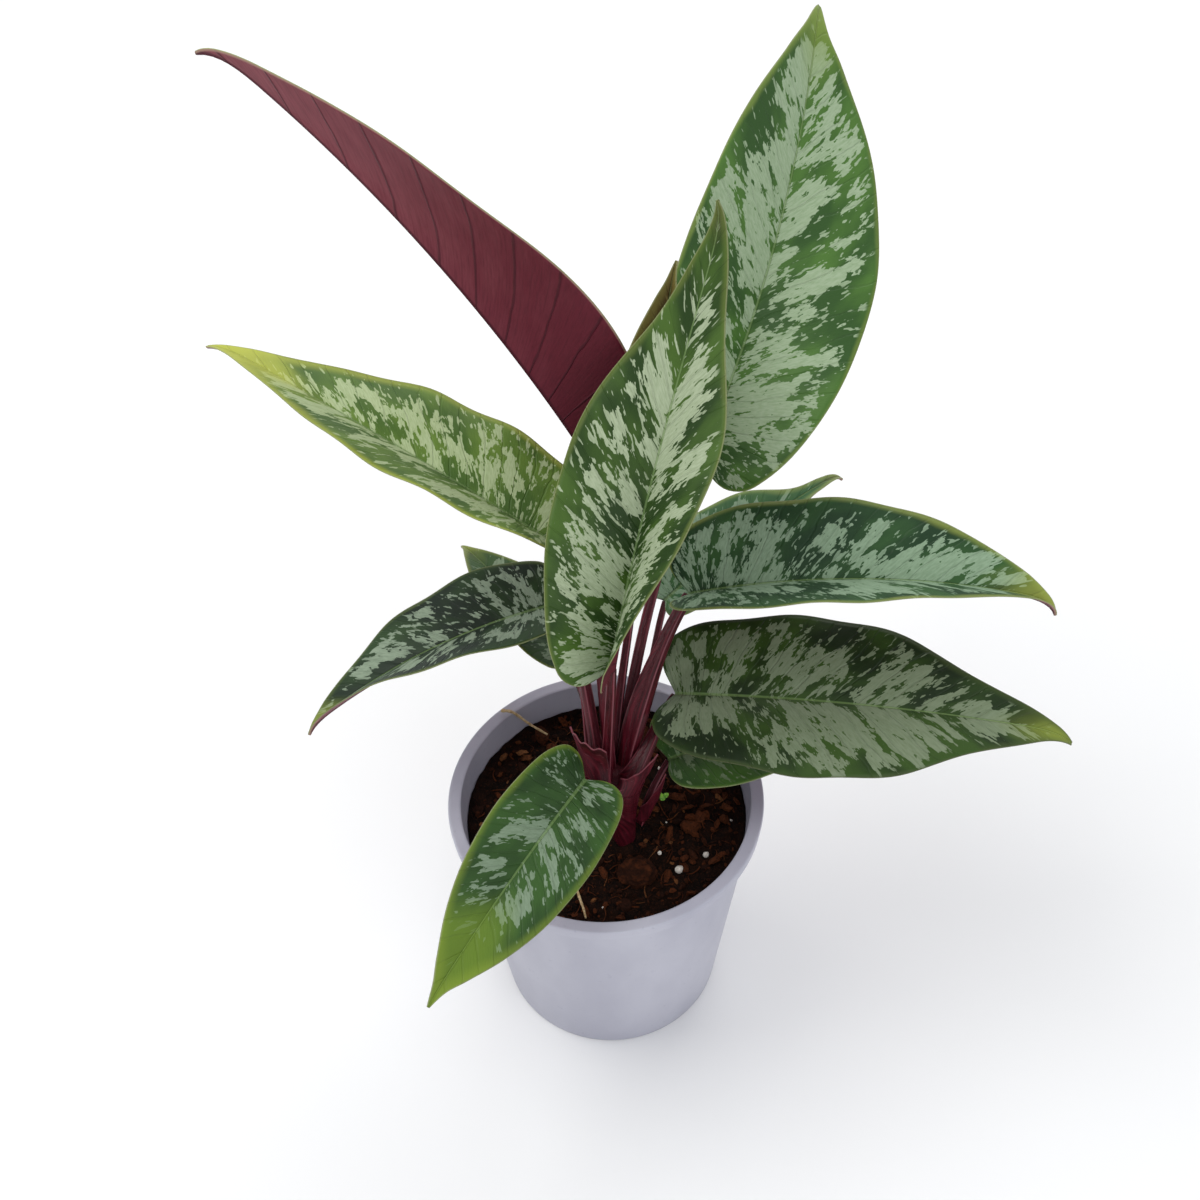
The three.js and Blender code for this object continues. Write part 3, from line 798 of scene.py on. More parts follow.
@dataclass
class Leaf:
    """One leaf: its blade and its stalk, by the same numbers as the solids."""

    name: str
    seat: Point
    length: float
    width: float
    heading: float
    climb: float
    arch: float
    hook: float
    sweep: float
    roll: float
    twist: float
    fold: tuple[float, float]
    cup: tuple[float, float]
    relax: tuple[float, float]
    tail: float
    wave: float
    waves: float
    phase: float
    foot: Point
    bends: tuple[Point, Point]
    radii: tuple[float, float]
    swell: float = 0.0
    marks: LeafMarks = field(default_factory=LeafMarks)
    under: Underside = field(default_factory=Underside)
    slot: Slot = Slot.LEAF
    rows: int = 96
    columns: int = 40
    stalk_rings: int = 60
    stalk_sides: int = 28

    def __post_init__(self) -> None:
        """Runs the midrib and the margin."""
        self.frames = self.midrib()
        self.margin = self.flat_margin(600)

    def flat_margin(self, count: int) -> list[Vector]:
        """Spaces the flat half outline evenly along the margin.

        Args:
            count: how many spans.

        Returns:
            The places, x along the midrib and y out from it.
        """
        points: list[Point] = []
        for along, out in HALF_OUTLINE:
            reach = clamp01((along - TAIL_START) / (1 - TAIL_START)) ** TAIL_EASE
            pinch = 1 - TAIL_PINCH * self.tail * math.sin(math.pi * reach)
            points.append((along * self.length, out * pinch * self.width / 2, 0.0))
        return evenly(points, count)

    def midrib(self, steps: int = 60) -> list[tuple[Vector, Vector, Vector, Vector]]:
        """Runs the midrib from the seat to the tip.

        Args:
            steps: how many spans.

        Returns:
            Place, forward, left and normal at each step.
        """
        frames: list[tuple[Vector, Vector, Vector, Vector]] = []
        place = Vector(self.seat)
        for i in range(steps + 1):
            s = i / steps
            heading = math.radians(self.heading + self.sweep * s)
            hooked = clamp01((s - HOOK_START) / HOOK_SPAN) ** 2
            climb = math.radians(self.climb + self.arch * s + self.hook * hooked)
            roll = math.radians(self.roll + self.twist * s)
            along = Vector((
                math.cos(climb) * math.cos(heading),
                math.cos(climb) * math.sin(heading),
                math.sin(climb),
            ))
            level = Vector((-math.sin(heading), math.cos(heading), 0))
            up = along.cross(level)
            normal = up * math.cos(roll) + level * math.sin(roll)
            left = level * math.cos(roll) - up * math.sin(roll)
            if frames:
                place = place + (along + frames[-1][1]) * (self.length / steps / 2)
            frames.append((place.copy(), along, left, normal))
        return frames

    def frame_at(self, share: float) -> tuple[Vector, Vector, Vector, Vector]:
        """Finds the midrib's frame at a share of its length.

        Args:
            share: from 0 at the seat to 1 at the tip.

        Returns:
            Place, forward, left and normal.
        """
        at = clamp01(share) * (len(self.frames) - 1)
        i = min(int(at), len(self.frames) - 2)
        low = self.frames[i]
        high = self.frames[i + 1]
        place = low[0].lerp(high[0], at - i)
        axes = [low[k].lerp(high[k], at - i).normalized() for k in (1, 2, 3)]
        return place, axes[0], axes[1], axes[2]

    def surface(self, x: float, y: float) -> tuple[Vector, Vector]:
        """Folds a flat blade point into place.

        Args:
            x: distance along the midrib.
            y: distance to its left.

        Returns:
            The place and the upper face's direction there.
        """
        share = clamp01(x / self.length)
        place, along, left, normal = self.frame_at(share)
        side = 1 if y < 0 else 0
        sign = -1.0 if y < 0 else 1.0
        half = self.width / 2
        out = abs(y) / half
        fold = (1 - self.relax[side] * share) * math.radians(self.fold[side])
        cup = math.radians(self.cup[side])
        across = half / cup * (math.sin(fold) - math.sin(fold - cup * out))
        rise = half / cup * (math.cos(fold - cup * out) - math.cos(fold))
        ripple = math.sin(2 * math.pi * (self.waves * share + self.phase + SIDE_PHASE * side))
        point = place + along * min(x, 0.0) + left * (sign * across)
        point = point + normal * (rise + self.wave * out * out * ripple)
        slope = fold - cup * out
        face = (normal * math.cos(slope) - left * (sign * math.sin(slope))).normalized()
        return point, face

    def margin_at(self, share: float) -> Vector:
        """Finds the flat margin's place at a share of its run."""
        at = clamp01(share) * (len(self.margin) - 1)
        i = min(int(at), len(self.margin) - 2)
        return self.margin[i].lerp(self.margin[i + 1], at - i)

    def blade_mesh(self) -> Mesh:
        """Builds the blade: a grid along the side veins, folded, then given its lower face.

        Returns:
            The blade in millimetres.
        """
        mesh = bmesh.new()
        space = mesh.verts.layers.float_vector.new(LEAF_SPACE)
        grid = sheet_grid(mesh, self.columns, self.rows)
        backs: dict[Vert, Vector] = {}
        for v, across, along in grid:
            spread = 1 - 2 * across
            t = math.copysign(abs(spread) ** COLUMN_EASE, spread)
            edge = self.margin_at(along)
            foot = self.length * along ** VEIN_LEAD
            x = blend(foot, edge.x, abs(t))
            y = t * edge.y
            point, face = self.surface(x, y)
            keel = KEEL_DEPTH * (1 - KEEL_FADE * along) * clamp01(1 - abs(t) / KEEL_REACH)
            v.co = point
            v[space] = Vector((y, along * self.length, (1 - abs(t)) * edge.y))
            thick = LEAF_THICKNESS * blend(1, MARGIN_SHARE, abs(t) ** 3)
            backs[v] = face * -(thick + keel)
        close_sheet(mesh, lambda v: backs[v])
        return mesh

    def stalk_mesh(self) -> Mesh:
        """Builds the stalk: a tube with a shallow channel and two thin wings.

        Returns:
            The stalk in millimetres.
        """
        place, along, _, normal = self.frames[0]
        end = place - normal * ((LEAF_THICKNESS + KEEL_DEPTH) / 2)
        knots = [Vector(self.foot), Vector(self.bends[0]), Vector(self.bends[1]), end]
        mesh = bmesh.new()
        space = mesh.verts.layers.float_vector.new(STALK_SPACE)
        grid = sheet_grid(mesh, self.stalk_sides, self.stalk_rings)
        span = sum((knots[i + 1] - knots[i]).length for i in range(3))
        for v, around, share in grid:
            centre, forward = self.bezier(knots, share)
            toward_top = (normal - forward * normal.dot(forward)).normalized()
            side = forward.cross(toward_top)
            turn = 2 * math.pi * around
            swollen = self.swell * math.exp(-((share - SWELL_AT) / SWELL_REACH) ** 2)
            base = blend(self.radii[1], self.radii[0], (1 - share) ** 1.4) + swollen
            wing_angle = min(abs(turn - WING_TURN), abs(turn - (2 * math.pi - WING_TURN)))
            wing_size = WING_SIZE * (1 - 0.6 * smooth(share * 1.3))
            wing = math.exp(-(wing_angle / WING_SPREAD) ** 2) * wing_size
            from_top = min(turn, 2 * math.pi - turn)
            channel = CHANNEL_DEPTH * math.exp(-(from_top / CHANNEL_SPREAD) ** 2)
            radius = base * (1 + wing - channel)
            v.co = centre + toward_top * (radius * math.cos(turn)) + side * (radius * math.sin(turn))
            if self.foot[2] == CROWN_TOP and share == 0:
                v.co.z = CROWN_TOP - FOOT_SINK
            v[space] = Vector((base * turn, span * share, wing_angle * base))
        close_tube(mesh, mesh.verts)
        bmesh.ops.recalc_face_normals(mesh, faces=mesh.faces)
        return mesh

    @staticmethod
    def bezier(knots: Sequence[Vector], t: float) -> tuple[Vector, Vector]:
        """Finds a place and direction on a cubic curve.

        Args:
            knots: its four points.
            t: the share along it.

        Returns:
            The place and the forward direction.
        """
        a, b, c, d = knots
        u = 1 - t
        at = a * u ** 3 + b * (3 * u * u * t) + c * (3 * u * t * t) + d * t ** 3
        to = (b - a) * (3 * u * u) + (c - b) * (6 * u * t) + (d - c) * (3 * t * t)
        return at, to.normalized()

    def build(self, bench: Bench, stalk: Look) -> None:
        """Makes the blade and the stalk.

        Args:
            bench: what finishes pieces.
            stalk: the stalks' material.
        """
        upper = self.marks.material("upper_" + self.name, self.length)
        lower = self.under.material("under_" + self.name, self.length)
        blade = self.blade_mesh()
        bench.piece("leaf_blade_" + self.name, blade, [upper, lower], ["blade_" + self.name])
        tube = self.stalk_mesh()
        bench.piece("leaf_stalk_" + self.name, tube, [stalk], ["petiole_" + self.name])


@dataclass
class Pot:
    """The tapered nursery pot, turned from one profile."""

    rim_radius: float = 60.0
    height: float = 110.0
    rim_width: float = 5.0
    rim_skirt: float = 5.5
    base_radius: float = 44.0
    wall: float = 1.4
    floor: float = 2.2
    channel: tuple[float, float] = (23.0, 34.0)
    channel_rise: float = 2.5
    holes: int = 8
    hole_radius: float = 3.4
    steps: int = 160
    sharp_from: float = 32.0

    def inner_radius(self, z: float) -> float:
        """Finds the radius of the inner wall at a height."""
        share = (z - self.floor - 1) / (self.height - 0.8 - self.floor - 1)
        return blend(self.base_radius - self.wall, self.rim_radius - self.rim_width, clamp01(share))

    def profile(self) -> list[tuple[float, float]]:
        """Lists the wall's outline, from the middle of the base round to the inner floor."""
        rim = self.rim_radius
        top = self.height
        base = self.base_radius
        rim_inner = rim - self.rim_width
        skirt = top - self.rim_skirt
        wall_top = rim_inner + self.wall
        inner, outer = self.channel
        inner_floor = self.channel_rise + self.floor
        return [
            (0, 0), (inner - 1, 0), (inner, self.channel_rise), (outer, self.channel_rise),
            (outer + 1, 0), (base - 1.2, 0), (base - 0.35, 0.35), (base, 1.2),
            (wall_top, skirt + 1.6), (wall_top + 0.5, top - 1.6), (rim - 1.5, top - 1.6),
            (rim - 1.7, skirt), (rim - 0.6, skirt - 0.02), (rim - 0.42, skirt + 0.2),
            (rim, top - 1.1), (rim - 0.05, top - 0.6), (rim - 0.3, top - 0.15), (rim - 0.8, top),
            (rim - 1.3, top - 0.12), (rim_inner + 1.1, top - 0.12), (rim_inner + 0.5, top - 0.2),
            (rim_inner + 0.12, top - 0.5), (rim_inner, top - 1.0), (base - self.wall, self.floor + 1),
            (base - self.wall - 1, self.floor), (outer + 2, self.floor), (outer + 1, inner_floor),
            (inner - 1, inner_floor), (inner - 2, self.floor), (0, self.floor),
        ]

    def drill(self) -> bpy.types.Object:
        """Makes the pins that the drainage holes are cut with."""
        mesh = bmesh.new()
        ring = sum(self.channel) / 2
        for i in range(self.holes):
            angle = 2 * math.pi * i / self.holes
            place = Matrix.Translation((ring * math.cos(angle), ring * math.sin(angle), 0))
            bmesh.ops.create_cone(
                mesh, cap_ends=True, segments=24, radius1=self.hole_radius, radius2=self.hole_radius,
                depth=20, matrix=place,
            )
        bmesh.ops.scale(mesh, vec=(MM, MM, MM), verts=mesh.verts)
        return put("drainage_pins", mesh_data("drainage_pins", mesh))

    def build(self, bench: Bench) -> None:
        """Makes the pot.

        Args:
            bench: what finishes pieces.
        """
        plastic = PotFinish().material("pot_plastic")
        made = bench.piece("nursery_pot", turned(self.profile(), self.steps), [plastic], ["pot"])
        pins = self.drill()
        cut = made.modifiers.new("drainage", "BOOLEAN")
        cut.operation = "DIFFERENCE"
        cut.solver = "EXACT"
        cut.object = pins
        apply_modifiers(made)
        bpy.data.objects.remove(pins)
        made.data.shade_smooth()
        made.data.set_sharp_from_angle(angle=math.radians(self.sharp_from))


def turned(profile: Sequence[tuple[float, float]], steps: int) -> Mesh:
    """Turns a profile about the upright axis.

    Args:
        profile: radius and height of each point; its ends lie on the axis.
        steps: how many spans round.

    Returns:
        A closed mesh.
    """
    mesh = bmesh.new()
    chain = [mesh.verts.new((r, 0, z)) for r, z in profile]
    edges = [mesh.edges.new((chain[i], chain[i + 1])) for i in range(len(chain) - 1)]
    bmesh.ops.spin(
        mesh, geom=chain + edges, cent=(0, 0, 0), axis=(0, 0, 1), angle=2 * math.pi, steps=steps,
        use_merge=True,
    )
    bmesh.ops.remove_doubles(mesh, verts=mesh.verts, dist=1e-4)
    bmesh.ops.recalc_face_normals(mesh, faces=mesh.faces)
    return mesh


def apply_modifiers(made: bpy.types.Object) -> None:
    """Bakes an object's modifiers into its mesh.

    Args:
        made: the object.
    """
    graph = bpy.context.evaluated_depsgraph_get()
    baked = bpy.data.meshes.new_from_object(made.evaluated_get(graph))
    made.modifiers.clear()
    made.data = baked


@dataclass
class PottingMix:
    """The potting mix: a crumbly plug, and the chips, fibres, clod, grains and seedling on it."""

    pot: Pot
    level: float = MIX_LEVEL
    relief: float = 1.3
    floor: float = 5.0
    rings: int = 70
    steps: int = 220
    chips: int = 300
    crumbs: int = 700
    big_chips: int = 30
    fibres: int = 320
    loose_grains: int = 9
    edge_gap: float = 2.5
    edge_over: float = 1.6
    tilt: float = 1.5
    roughness: float = 0.30
    crown_at: tuple[float, float] = (6.5, -10.5)
    chip_clear: float = 5.5
    fibre_clear: float = 7.0
    clod_at: Point = (10.5, -27.5, 98.6)
    clod_size: Point = (7.4, 6.6, 4.2)
    clod_ball: float = 7.2
    seedling_at: tuple[float, float] = (21.8, 5.6)
    grains_at: tuple[Point, ...] = ((26.4, -27.0, 1.6), (36.9, -20.8, 1.2), (19.5, -19.5, 0.8))
    draw: int = 11

    def swell(self, x: float, y: float) -> float:
        """Finds the broad height of the surface."""
        radius = math.hypot(x, y) / self.pot.inner_radius(self.level)
        broad = math.sin(x * 0.11 + 0.6) * math.cos(y * 0.13 - 0.4)
        lumps = math.sin(x * 0.41 + y * 0.17) * math.sin(y * 0.37 - x * 0.12 + 1.3)
        fade = 1 - 0.6 * radius ** 6
        return self.level + self.relief * fade * (0.7 * broad + 0.6 * lumps)

    def height(self, x: float, y: float) -> float:
        """Finds the crumbly height of the surface."""
        place = Vector((x, y, 3.0))
        crumb = noise.fractal(place * 0.22, 0.9, 2.1, 5)
        grit = noise.fractal(place * 0.75, 0.8, 2.2, 3)
        return self.swell(x, y) + 0.9 * crumb + 0.35 * grit

    def plug_mesh(self) -> Mesh:
        """Turns the plug and roughens its top.

        Returns:
            The plug in millimetres.
        """
        edge = self.pot.inner_radius(self.level) - 0.35
        low = self.pot.inner_radius(self.floor) - 1.2
        profile = [(0.0, self.floor), (low, self.floor), (edge, self.level)]
        profile += [(edge * (1 - i / self.rings), self.level) for i in range(1, self.rings + 1)]
        mesh = turned(profile, self.steps)
        for v in mesh.verts:
            if v.co.z > self.level - 0.01:
                v.co.z = self.height(v.co.x, v.co.y)
        return mesh

    def spot(self, rng: random.Random, reach: float) -> Point:
        """Draws a place within reach of the middle, and gives x, y and its distance."""
        radius = reach * math.sqrt(rng.random())
        angle = rng.random() * 2 * math.pi
        return radius * math.cos(angle), radius * math.sin(angle), radius

    def off_crown(self, x: float, y: float) -> float:
        """Finds how far a place lies from the crown's middle."""
        return math.hypot(x - self.crown_at[0], y - self.crown_at[1])

    def scatter(self, mesh: Mesh, rng: random.Random, count: int, size: tuple[float, float],
                flat: float, tone: tuple[float, float], sink: float, ball: int = 1) -> None:
        """Strews small broken pieces over the surface.

        Args:
            mesh: the mesh that gets them.
            rng: the seeded draw.
            count: how many.
            size: the smallest and largest radius.
            flat: how thin a piece is against its length.
            tone: the range of its tone.
            sink: the share of its radius that lies in the mix.
            ball: how fine its shape is.
        """
        layer = mesh.verts.layers.float.get(TONE) or mesh.verts.layers.float.new(TONE)
        reach = self.pot.inner_radius(self.level) - self.edge_gap
        for _ in range(count):
            x, y, radius = self.spot(rng, reach)
            long = blend(size[0], size[1], rng.random() ** 2)
            if self.off_crown(x, y) < self.chip_clear + long:
                continue
            if radius + long > reach + self.edge_over:
                continue
            pitch = (rng.random() - 0.5) * self.tilt
            roll = (rng.random() - 0.5) * self.tilt
            tilt = Euler((pitch, roll, rng.random() * 6.28))
            place = Matrix.Translation((x, y, self.height(x, y) + long * (0.35 - sink)))
            wide = blend(0.35, 0.8, rng.random())
            squash = Matrix.Diagonal((1, wide, flat * blend(0.6, 1.3, rng.random()), 1))
            shape = place @ tilt.to_matrix().to_4x4() @ squash
            made = bmesh.ops.create_icosphere(mesh, subdivisions=ball, radius=long, matrix=shape)
            own = blend(tone[0], tone[1], rng.random())
            salt = rng.random() * 50
            for v in made["verts"]:
                push = noise.noise_vector(v.co * (1.6 / long) + Vector((salt, 0, 0)))
                v.co = v.co + push * (self.roughness * long)
                v[layer] = own

    def fibre_mesh(self, rng: random.Random) -> Mesh:
        """Strews thin curved fibres over the surface.

        Args:
            rng: the seeded draw.

        Returns:
            The fibres in millimetres.
        """
        mesh = bmesh.new()
        layer = mesh.verts.layers.float.new(TONE)
        reach = self.pot.inner_radius(self.level) - 3
        for _ in range(self.fibres):
            x, y, _ = self.spot(rng, reach)
            turn = rng.random() * 2 * math.pi
            bend = (rng.random() - 0.5) * 1.6
            run = blend(2.5, 9.0, rng.random() ** 1.5)
            points: list[Point] = []
            for i in range(4):
                if math.hypot(x, y) > reach or self.off_crown(x, y) < self.fibre_clear:
                    break
                lift = 0.25 + 0.9 * rng.random() * math.sin(math.pi * i / 3)
                points.append((x, y, self.height(x, y) + lift))
                x += run / 3 * math.cos(turn)
                y += run / 3 * math.sin(turn)
                turn += bend
            if len(points) < 4:
                continue
            thick = blend(0.16, 0.42, rng.random())
            own = blend(0.2, 0.95, rng.random())
            lay_tube(mesh, points, 9, 5, lambda t: thick * (1 - 0.7 * t), layer, own)
        bmesh.ops.recalc_face_normals(mesh, faces=mesh.faces)
        return mesh

    def clod_mesh(self) -> Mesh:
        """Builds the round clod that lies in front of the crown.

        Returns:
            The clod in millimetres.
        """
        mesh = bmesh.new()
        layer = mesh.verts.layers.float.new(TONE)
        centre = Vector(self.clod_at)
        wide, deep, tall = self.clod_size
        place = Matrix.Translation(centre)
        bmesh.ops.create_icosphere(mesh, subdivisions=5, radius=self.clod_ball, matrix=place)
        for v in mesh.verts:
            out = (v.co - centre).normalized()
            rough = noise.fractal(v.co * 0.33, 0.9, 2.1, 5)
            v.co = centre + Vector((out.x * wide, out.y * deep, out.z * tall)) * (1 + 0.16 * rough)
            v[layer] = 0.25 + 0.3 * clamp01(rough + 0.3)
        return mesh

    def build(self, bench: Bench) -> None:
        """Makes the plug and what lies on it.

        Args:
            bench: what finishes pieces.
        """
        rng = random.Random(self.draw)
        noise.seed_set(self.draw)
        crumb = EarthFinish().material("mix_crumb")
        bark = EarthFinish(dark="140a06", mid="2c160d", light="5c3019", use_tone=True).material("mix_chips")
        perlite = PlainNatural("e9e4da", "bdb6aa", 1400.0, 0.85, 0.3).material("mix_perlite")
        sprout = PlainNatural("4f8f22", "86bd3c", 900.0, 0.6, 0.1).material("mix_seedling")
        bench.piece("mix_plug", self.plug_mesh(), [crumb], ["potting_mix"])
        chips = bmesh.new()
        self.scatter(chips, rng, self.crumbs, (0.5, 1.5), 0.7, (0.0, 0.6), 0.1)
        self.scatter(chips, rng, self.chips, (1.1, 4.2), 0.3, (0.1, 1.0), 0.15)
        self.scatter(chips, rng, self.big_chips, (2.2, 4.6), 0.3, (0.2, 0.85), 0.1, 2)
        made = bench.piece("mix_bark_chips", chips, [bark])
        made.data.shade_flat()
        bench.piece("mix_clod", self.clod_mesh(), [bark])
        bench.piece("mix_fibres", self.fibre_mesh(rng), [bark])
        grains = bmesh.new()
        self.scatter(grains, rng, self.loose_grains, (0.5, 0.9), 0.9, (0, 1), 0.0, 2)
        for x, y, radius in self.grains_at:
            self.grain(grains, (x, y), radius)
        bench.piece("mix_perlite_grains", grains, [perlite])
        bench.piece("mix_seedling", self.seedling_mesh(self.seedling_at), [sprout])

    def seedling_mesh(self, at: tuple[float, float]) -> Mesh:
        """Builds a tiny seedling: a short stem and three round leaves.

        Args:
            at: its place on the surface.

        Returns:
            The seedling in millimetres.
        """
        mesh = bmesh.new()
        foot = Vector((at[0], at[1], self.height(*at) - 0.6))
        crest = foot + Vector((0.2, -0.3, 2.6))
        stem = [tuple(foot), tuple(foot.lerp(crest, 0.5)), tuple(crest)]
        lay_tube(mesh, stem, 6, 8, lambda t: 0.35)
        for i in range(3):
            turn = Matrix.Rotation(2.1 * i + 0.4, 4, "Z") @ Matrix.Rotation(-0.35, 4, "Y")
            place = Matrix.Translation(crest) @ turn @ Matrix.Translation((1.2, 0, 0.1 * i))
            shape = place @ Matrix.Diagonal((1.1, 0.85, 0.28, 1))
            bmesh.ops.create_icosphere(mesh, subdivisions=3, radius=1.3, matrix=shape)
        bmesh.ops.recalc_face_normals(mesh, faces=mesh.faces)
        return mesh

    def grain(self, mesh: Mesh, at: tuple[float, float], radius: float) -> None:
        """Sets one perlite grain at a known place.

        Args:
            mesh: the mesh that gets it.
            at: its place on the surface.
            radius: its radius.
        """
        place = Matrix.Translation((at[0], at[1], self.height(*at) + radius * 0.6))
        made = bmesh.ops.create_icosphere(mesh, subdivisions=2, radius=radius, matrix=place)
        for v in made["verts"]:
            v.co = v.co + noise.noise_vector(v.co * 1.3) * (0.22 * radius)


def lay_tube(mesh: Mesh, points: Sequence[Point], rings: int, sides: int,
             radius_at: Callable[[float], float], layer: object = None, tone: float = 0.0) -> None:
    """Lays a thin closed tube along points.

    Args:
        mesh: the mesh that gets it.
        points: the points that it runs through.
        rings: spans along it.
        sides: spans round it.
        radius_at: its radius at a share of its run.
        layer: the tone layer, if it has one.
        tone: the tone that it gets.
    """
    grid = sheet_grid(mesh, sides, rings)
    for v, around, share in grid:
        centre = catmull(points, share)
        after = catmull(points, min(1.0, share + 0.02))
        before = catmull(points, max(0.0, share - 0.02))
        ahead = (after - before).normalized()
        side = ahead.cross(Vector((0.13, 0.21, 1))).normalized()
        top = side.cross(ahead)
        turn = 2 * math.pi * around
        radius = radius_at(share)
        v.co = centre + side * (radius * math.cos(turn)) + top * (radius * math.sin(turn))
        if layer is not None:
            v[layer] = tone
    close_tube(mesh, [v for v, _, _ in grid])


@dataclass
class Crown:
    """The short wine-red stem."""

    line: tuple[tuple[float, float, float, float, float], ...] = (
        (6.5, -10.5, 90, 3.8, 3.8), (6.5, -10.5, 96, 4.2, 4.2), (6.4, -10.3, 102, 4.5, 4.5),
        (6, -9.6, 110, 5.1, 5), (5.2, -8, 118, 6.6, 6.2), (4.2, -6.2, 125, 9, 8.9),
        (3.7, -4.5, 128.6, 10.6, 10.6), (3.7, -4.3, 130.4, 9.6, 9.6), (3.7, -4.3, 131.3, 6.6, 6.6),
        (3.7, -4.3, 131.6, 2.0, 2.0),
    )
    rings: int = 60
    sides: int = 96
    ridges: int = 7
    ridge_depth: float = 0.07
    ridge_lean: float = 2.5
    seams: int = 5
    seam_lean: float = 1.6

    def at(self, z_share: float) -> tuple[Vector, float, float]:
        """Finds the stem's middle and radii at a share of its height.

        Args:
            z_share: from 0 at the foot to 1 at the top.

        Returns:
            The middle, and the radii along X and Y.
        """
        middles = [(x, y, z) for x, y, z, _, _ in self.line]
        radii = [(rx, ry, 0.0) for _, _, _, rx, ry in self.line]
        size = catmull(radii, z_share)
        return catmull(middles, z_share), size.x, size.y

    def stem_mesh(self) -> Mesh:
        """Builds the ribbed stem.

        Returns:
            The stem in millimetres.
        """
        mesh = bmesh.new()
        space = mesh.verts.layers.float_vector.new(STALK_SPACE)
        for v, around, share in sheet_grid(mesh, self.sides, self.rings):
            middle, rx, ry = self.at(share)
            turn = 2 * math.pi * around
            ridge = math.cos(self.ridges * turn + self.ridge_lean * share)
            ridged = 1 + self.ridge_depth * smooth((middle.z - 100) / 22) * ridge
            v.co = middle + Vector((rx * ridged * math.cos(turn), ry * ridged * math.sin(turn), 0))
            seam = abs((around * self.seams + self.seam_lean * share) % 1 - 0.5)
            seam = seam * 2 * math.pi * rx / self.seams
            seam = blend(NO_SEAM, seam, smooth((middle.z - 106) / 10))
            seam = blend(seam, NO_SEAM, smooth((middle.z - 124) / 4))
            v[space] = Vector((rx * turn, middle.z, seam))
        close_tube(mesh, mesh.verts)
        bmesh.ops.recalc_face_normals(mesh, faces=mesh.faces)
        return mesh

    def build(self, bench: Bench, stalk: Look) -> None:
        """Makes the stem, of the stalks' material."""
        bench.piece("crown_stem", self.stem_mesh(), [stalk], ["crown"])


@dataclass
class Sheath:
    """A thin wing of a stalk base, wrapped round a leaning axis."""

    name: str
    foot: Point
    lean: Point
    radii: tuple[tuple[float, float], tuple[float, float]]
    start: float
    stop: float
    height: float
    shoulder: float
    peak: float
    curl: float
    thickness: float = 0.55
    rows: int = 26
    columns: int = 44
    frill: float = 0.03
    frill_turn: float = 23.0

    def mesh(self) -> Mesh:
        """Builds the wing: its top edge climbs to a point and curls out.

        Returns:
            The wing in millimetres.
        """
        mesh = bmesh.new()
        space = mesh.verts.layers.float_vector.new(STALK_SPACE)
        foot = Vector(self.foot)
        lean = Vector(self.lean)
        inward: dict[Vert, Vector] = {}
        for v, across, rise in sheet_grid(mesh, self.columns, self.rows):
            angle = math.radians(blend(self.start, self.stop, across))
            away = across / self.peak if across < self.peak else (1 - across) / (1 - self.peak)
            top = blend(self.shoulder, 1, clamp01(away) ** 1.5)
            frill = 1 + self.frill * math.sin(across * self.frill_turn)
            lift = rise * top * self.height * frill
            low, high = self.radii
            flare = self.curl * rise ** 4
            outward = Vector((math.cos(angle), math.sin(angle), 0))
            reach = Vector((
                (blend(low[0], high[0], rise) + flare) * outward.x,
                (blend(low[1], high[1], rise) + flare) * outward.y,
                0,
            ))
            v.co = foot + lean * lift + reach
            v[space] = Vector((reach.length * angle, lift, (1 - rise) * top * self.height))
            inward[v] = outward * -self.thickness
        close_sheet(mesh, lambda v: inward[v])
        for f in mesh.faces:
            f.material_index = 0
        return mesh

    def build(self, bench: Bench, stalk: Look) -> None:
        """Makes the wing, of the stalks' material."""
        bench.piece("sheath_wing_" + self.name, self.mesh(), [stalk], ["sheath_" + self.name])


@dataclass
class RootStrand:
    """A dry pale root lying on the mix."""

    name: str
    radius: float
    route: tuple[Point, ...]
    taper: float = 0.4
    knots: float = 0.12
    knot_turn: float = 31.0

    def radius_at(self, share: float) -> float:
        """Finds the radius at a share of the length: thinner to the end, a little knotty."""
        return self.radius * (1 - self.taper * share) * (1 + self.knots * math.sin(self.knot_turn * share))

    def build(self, bench: Bench, finish: Look) -> None:
        """Makes the root.

        Args:
            bench: what finishes pieces.
            finish: its material.
        """
        mesh = bmesh.new()
        lay_tube(mesh, self.route, 40, 10, self.radius_at)
        bmesh.ops.recalc_face_normals(mesh, faces=mesh.faces)
        bench.piece("dry_root_" + self.name, mesh, [finish], ["root_strand_" + self.name])


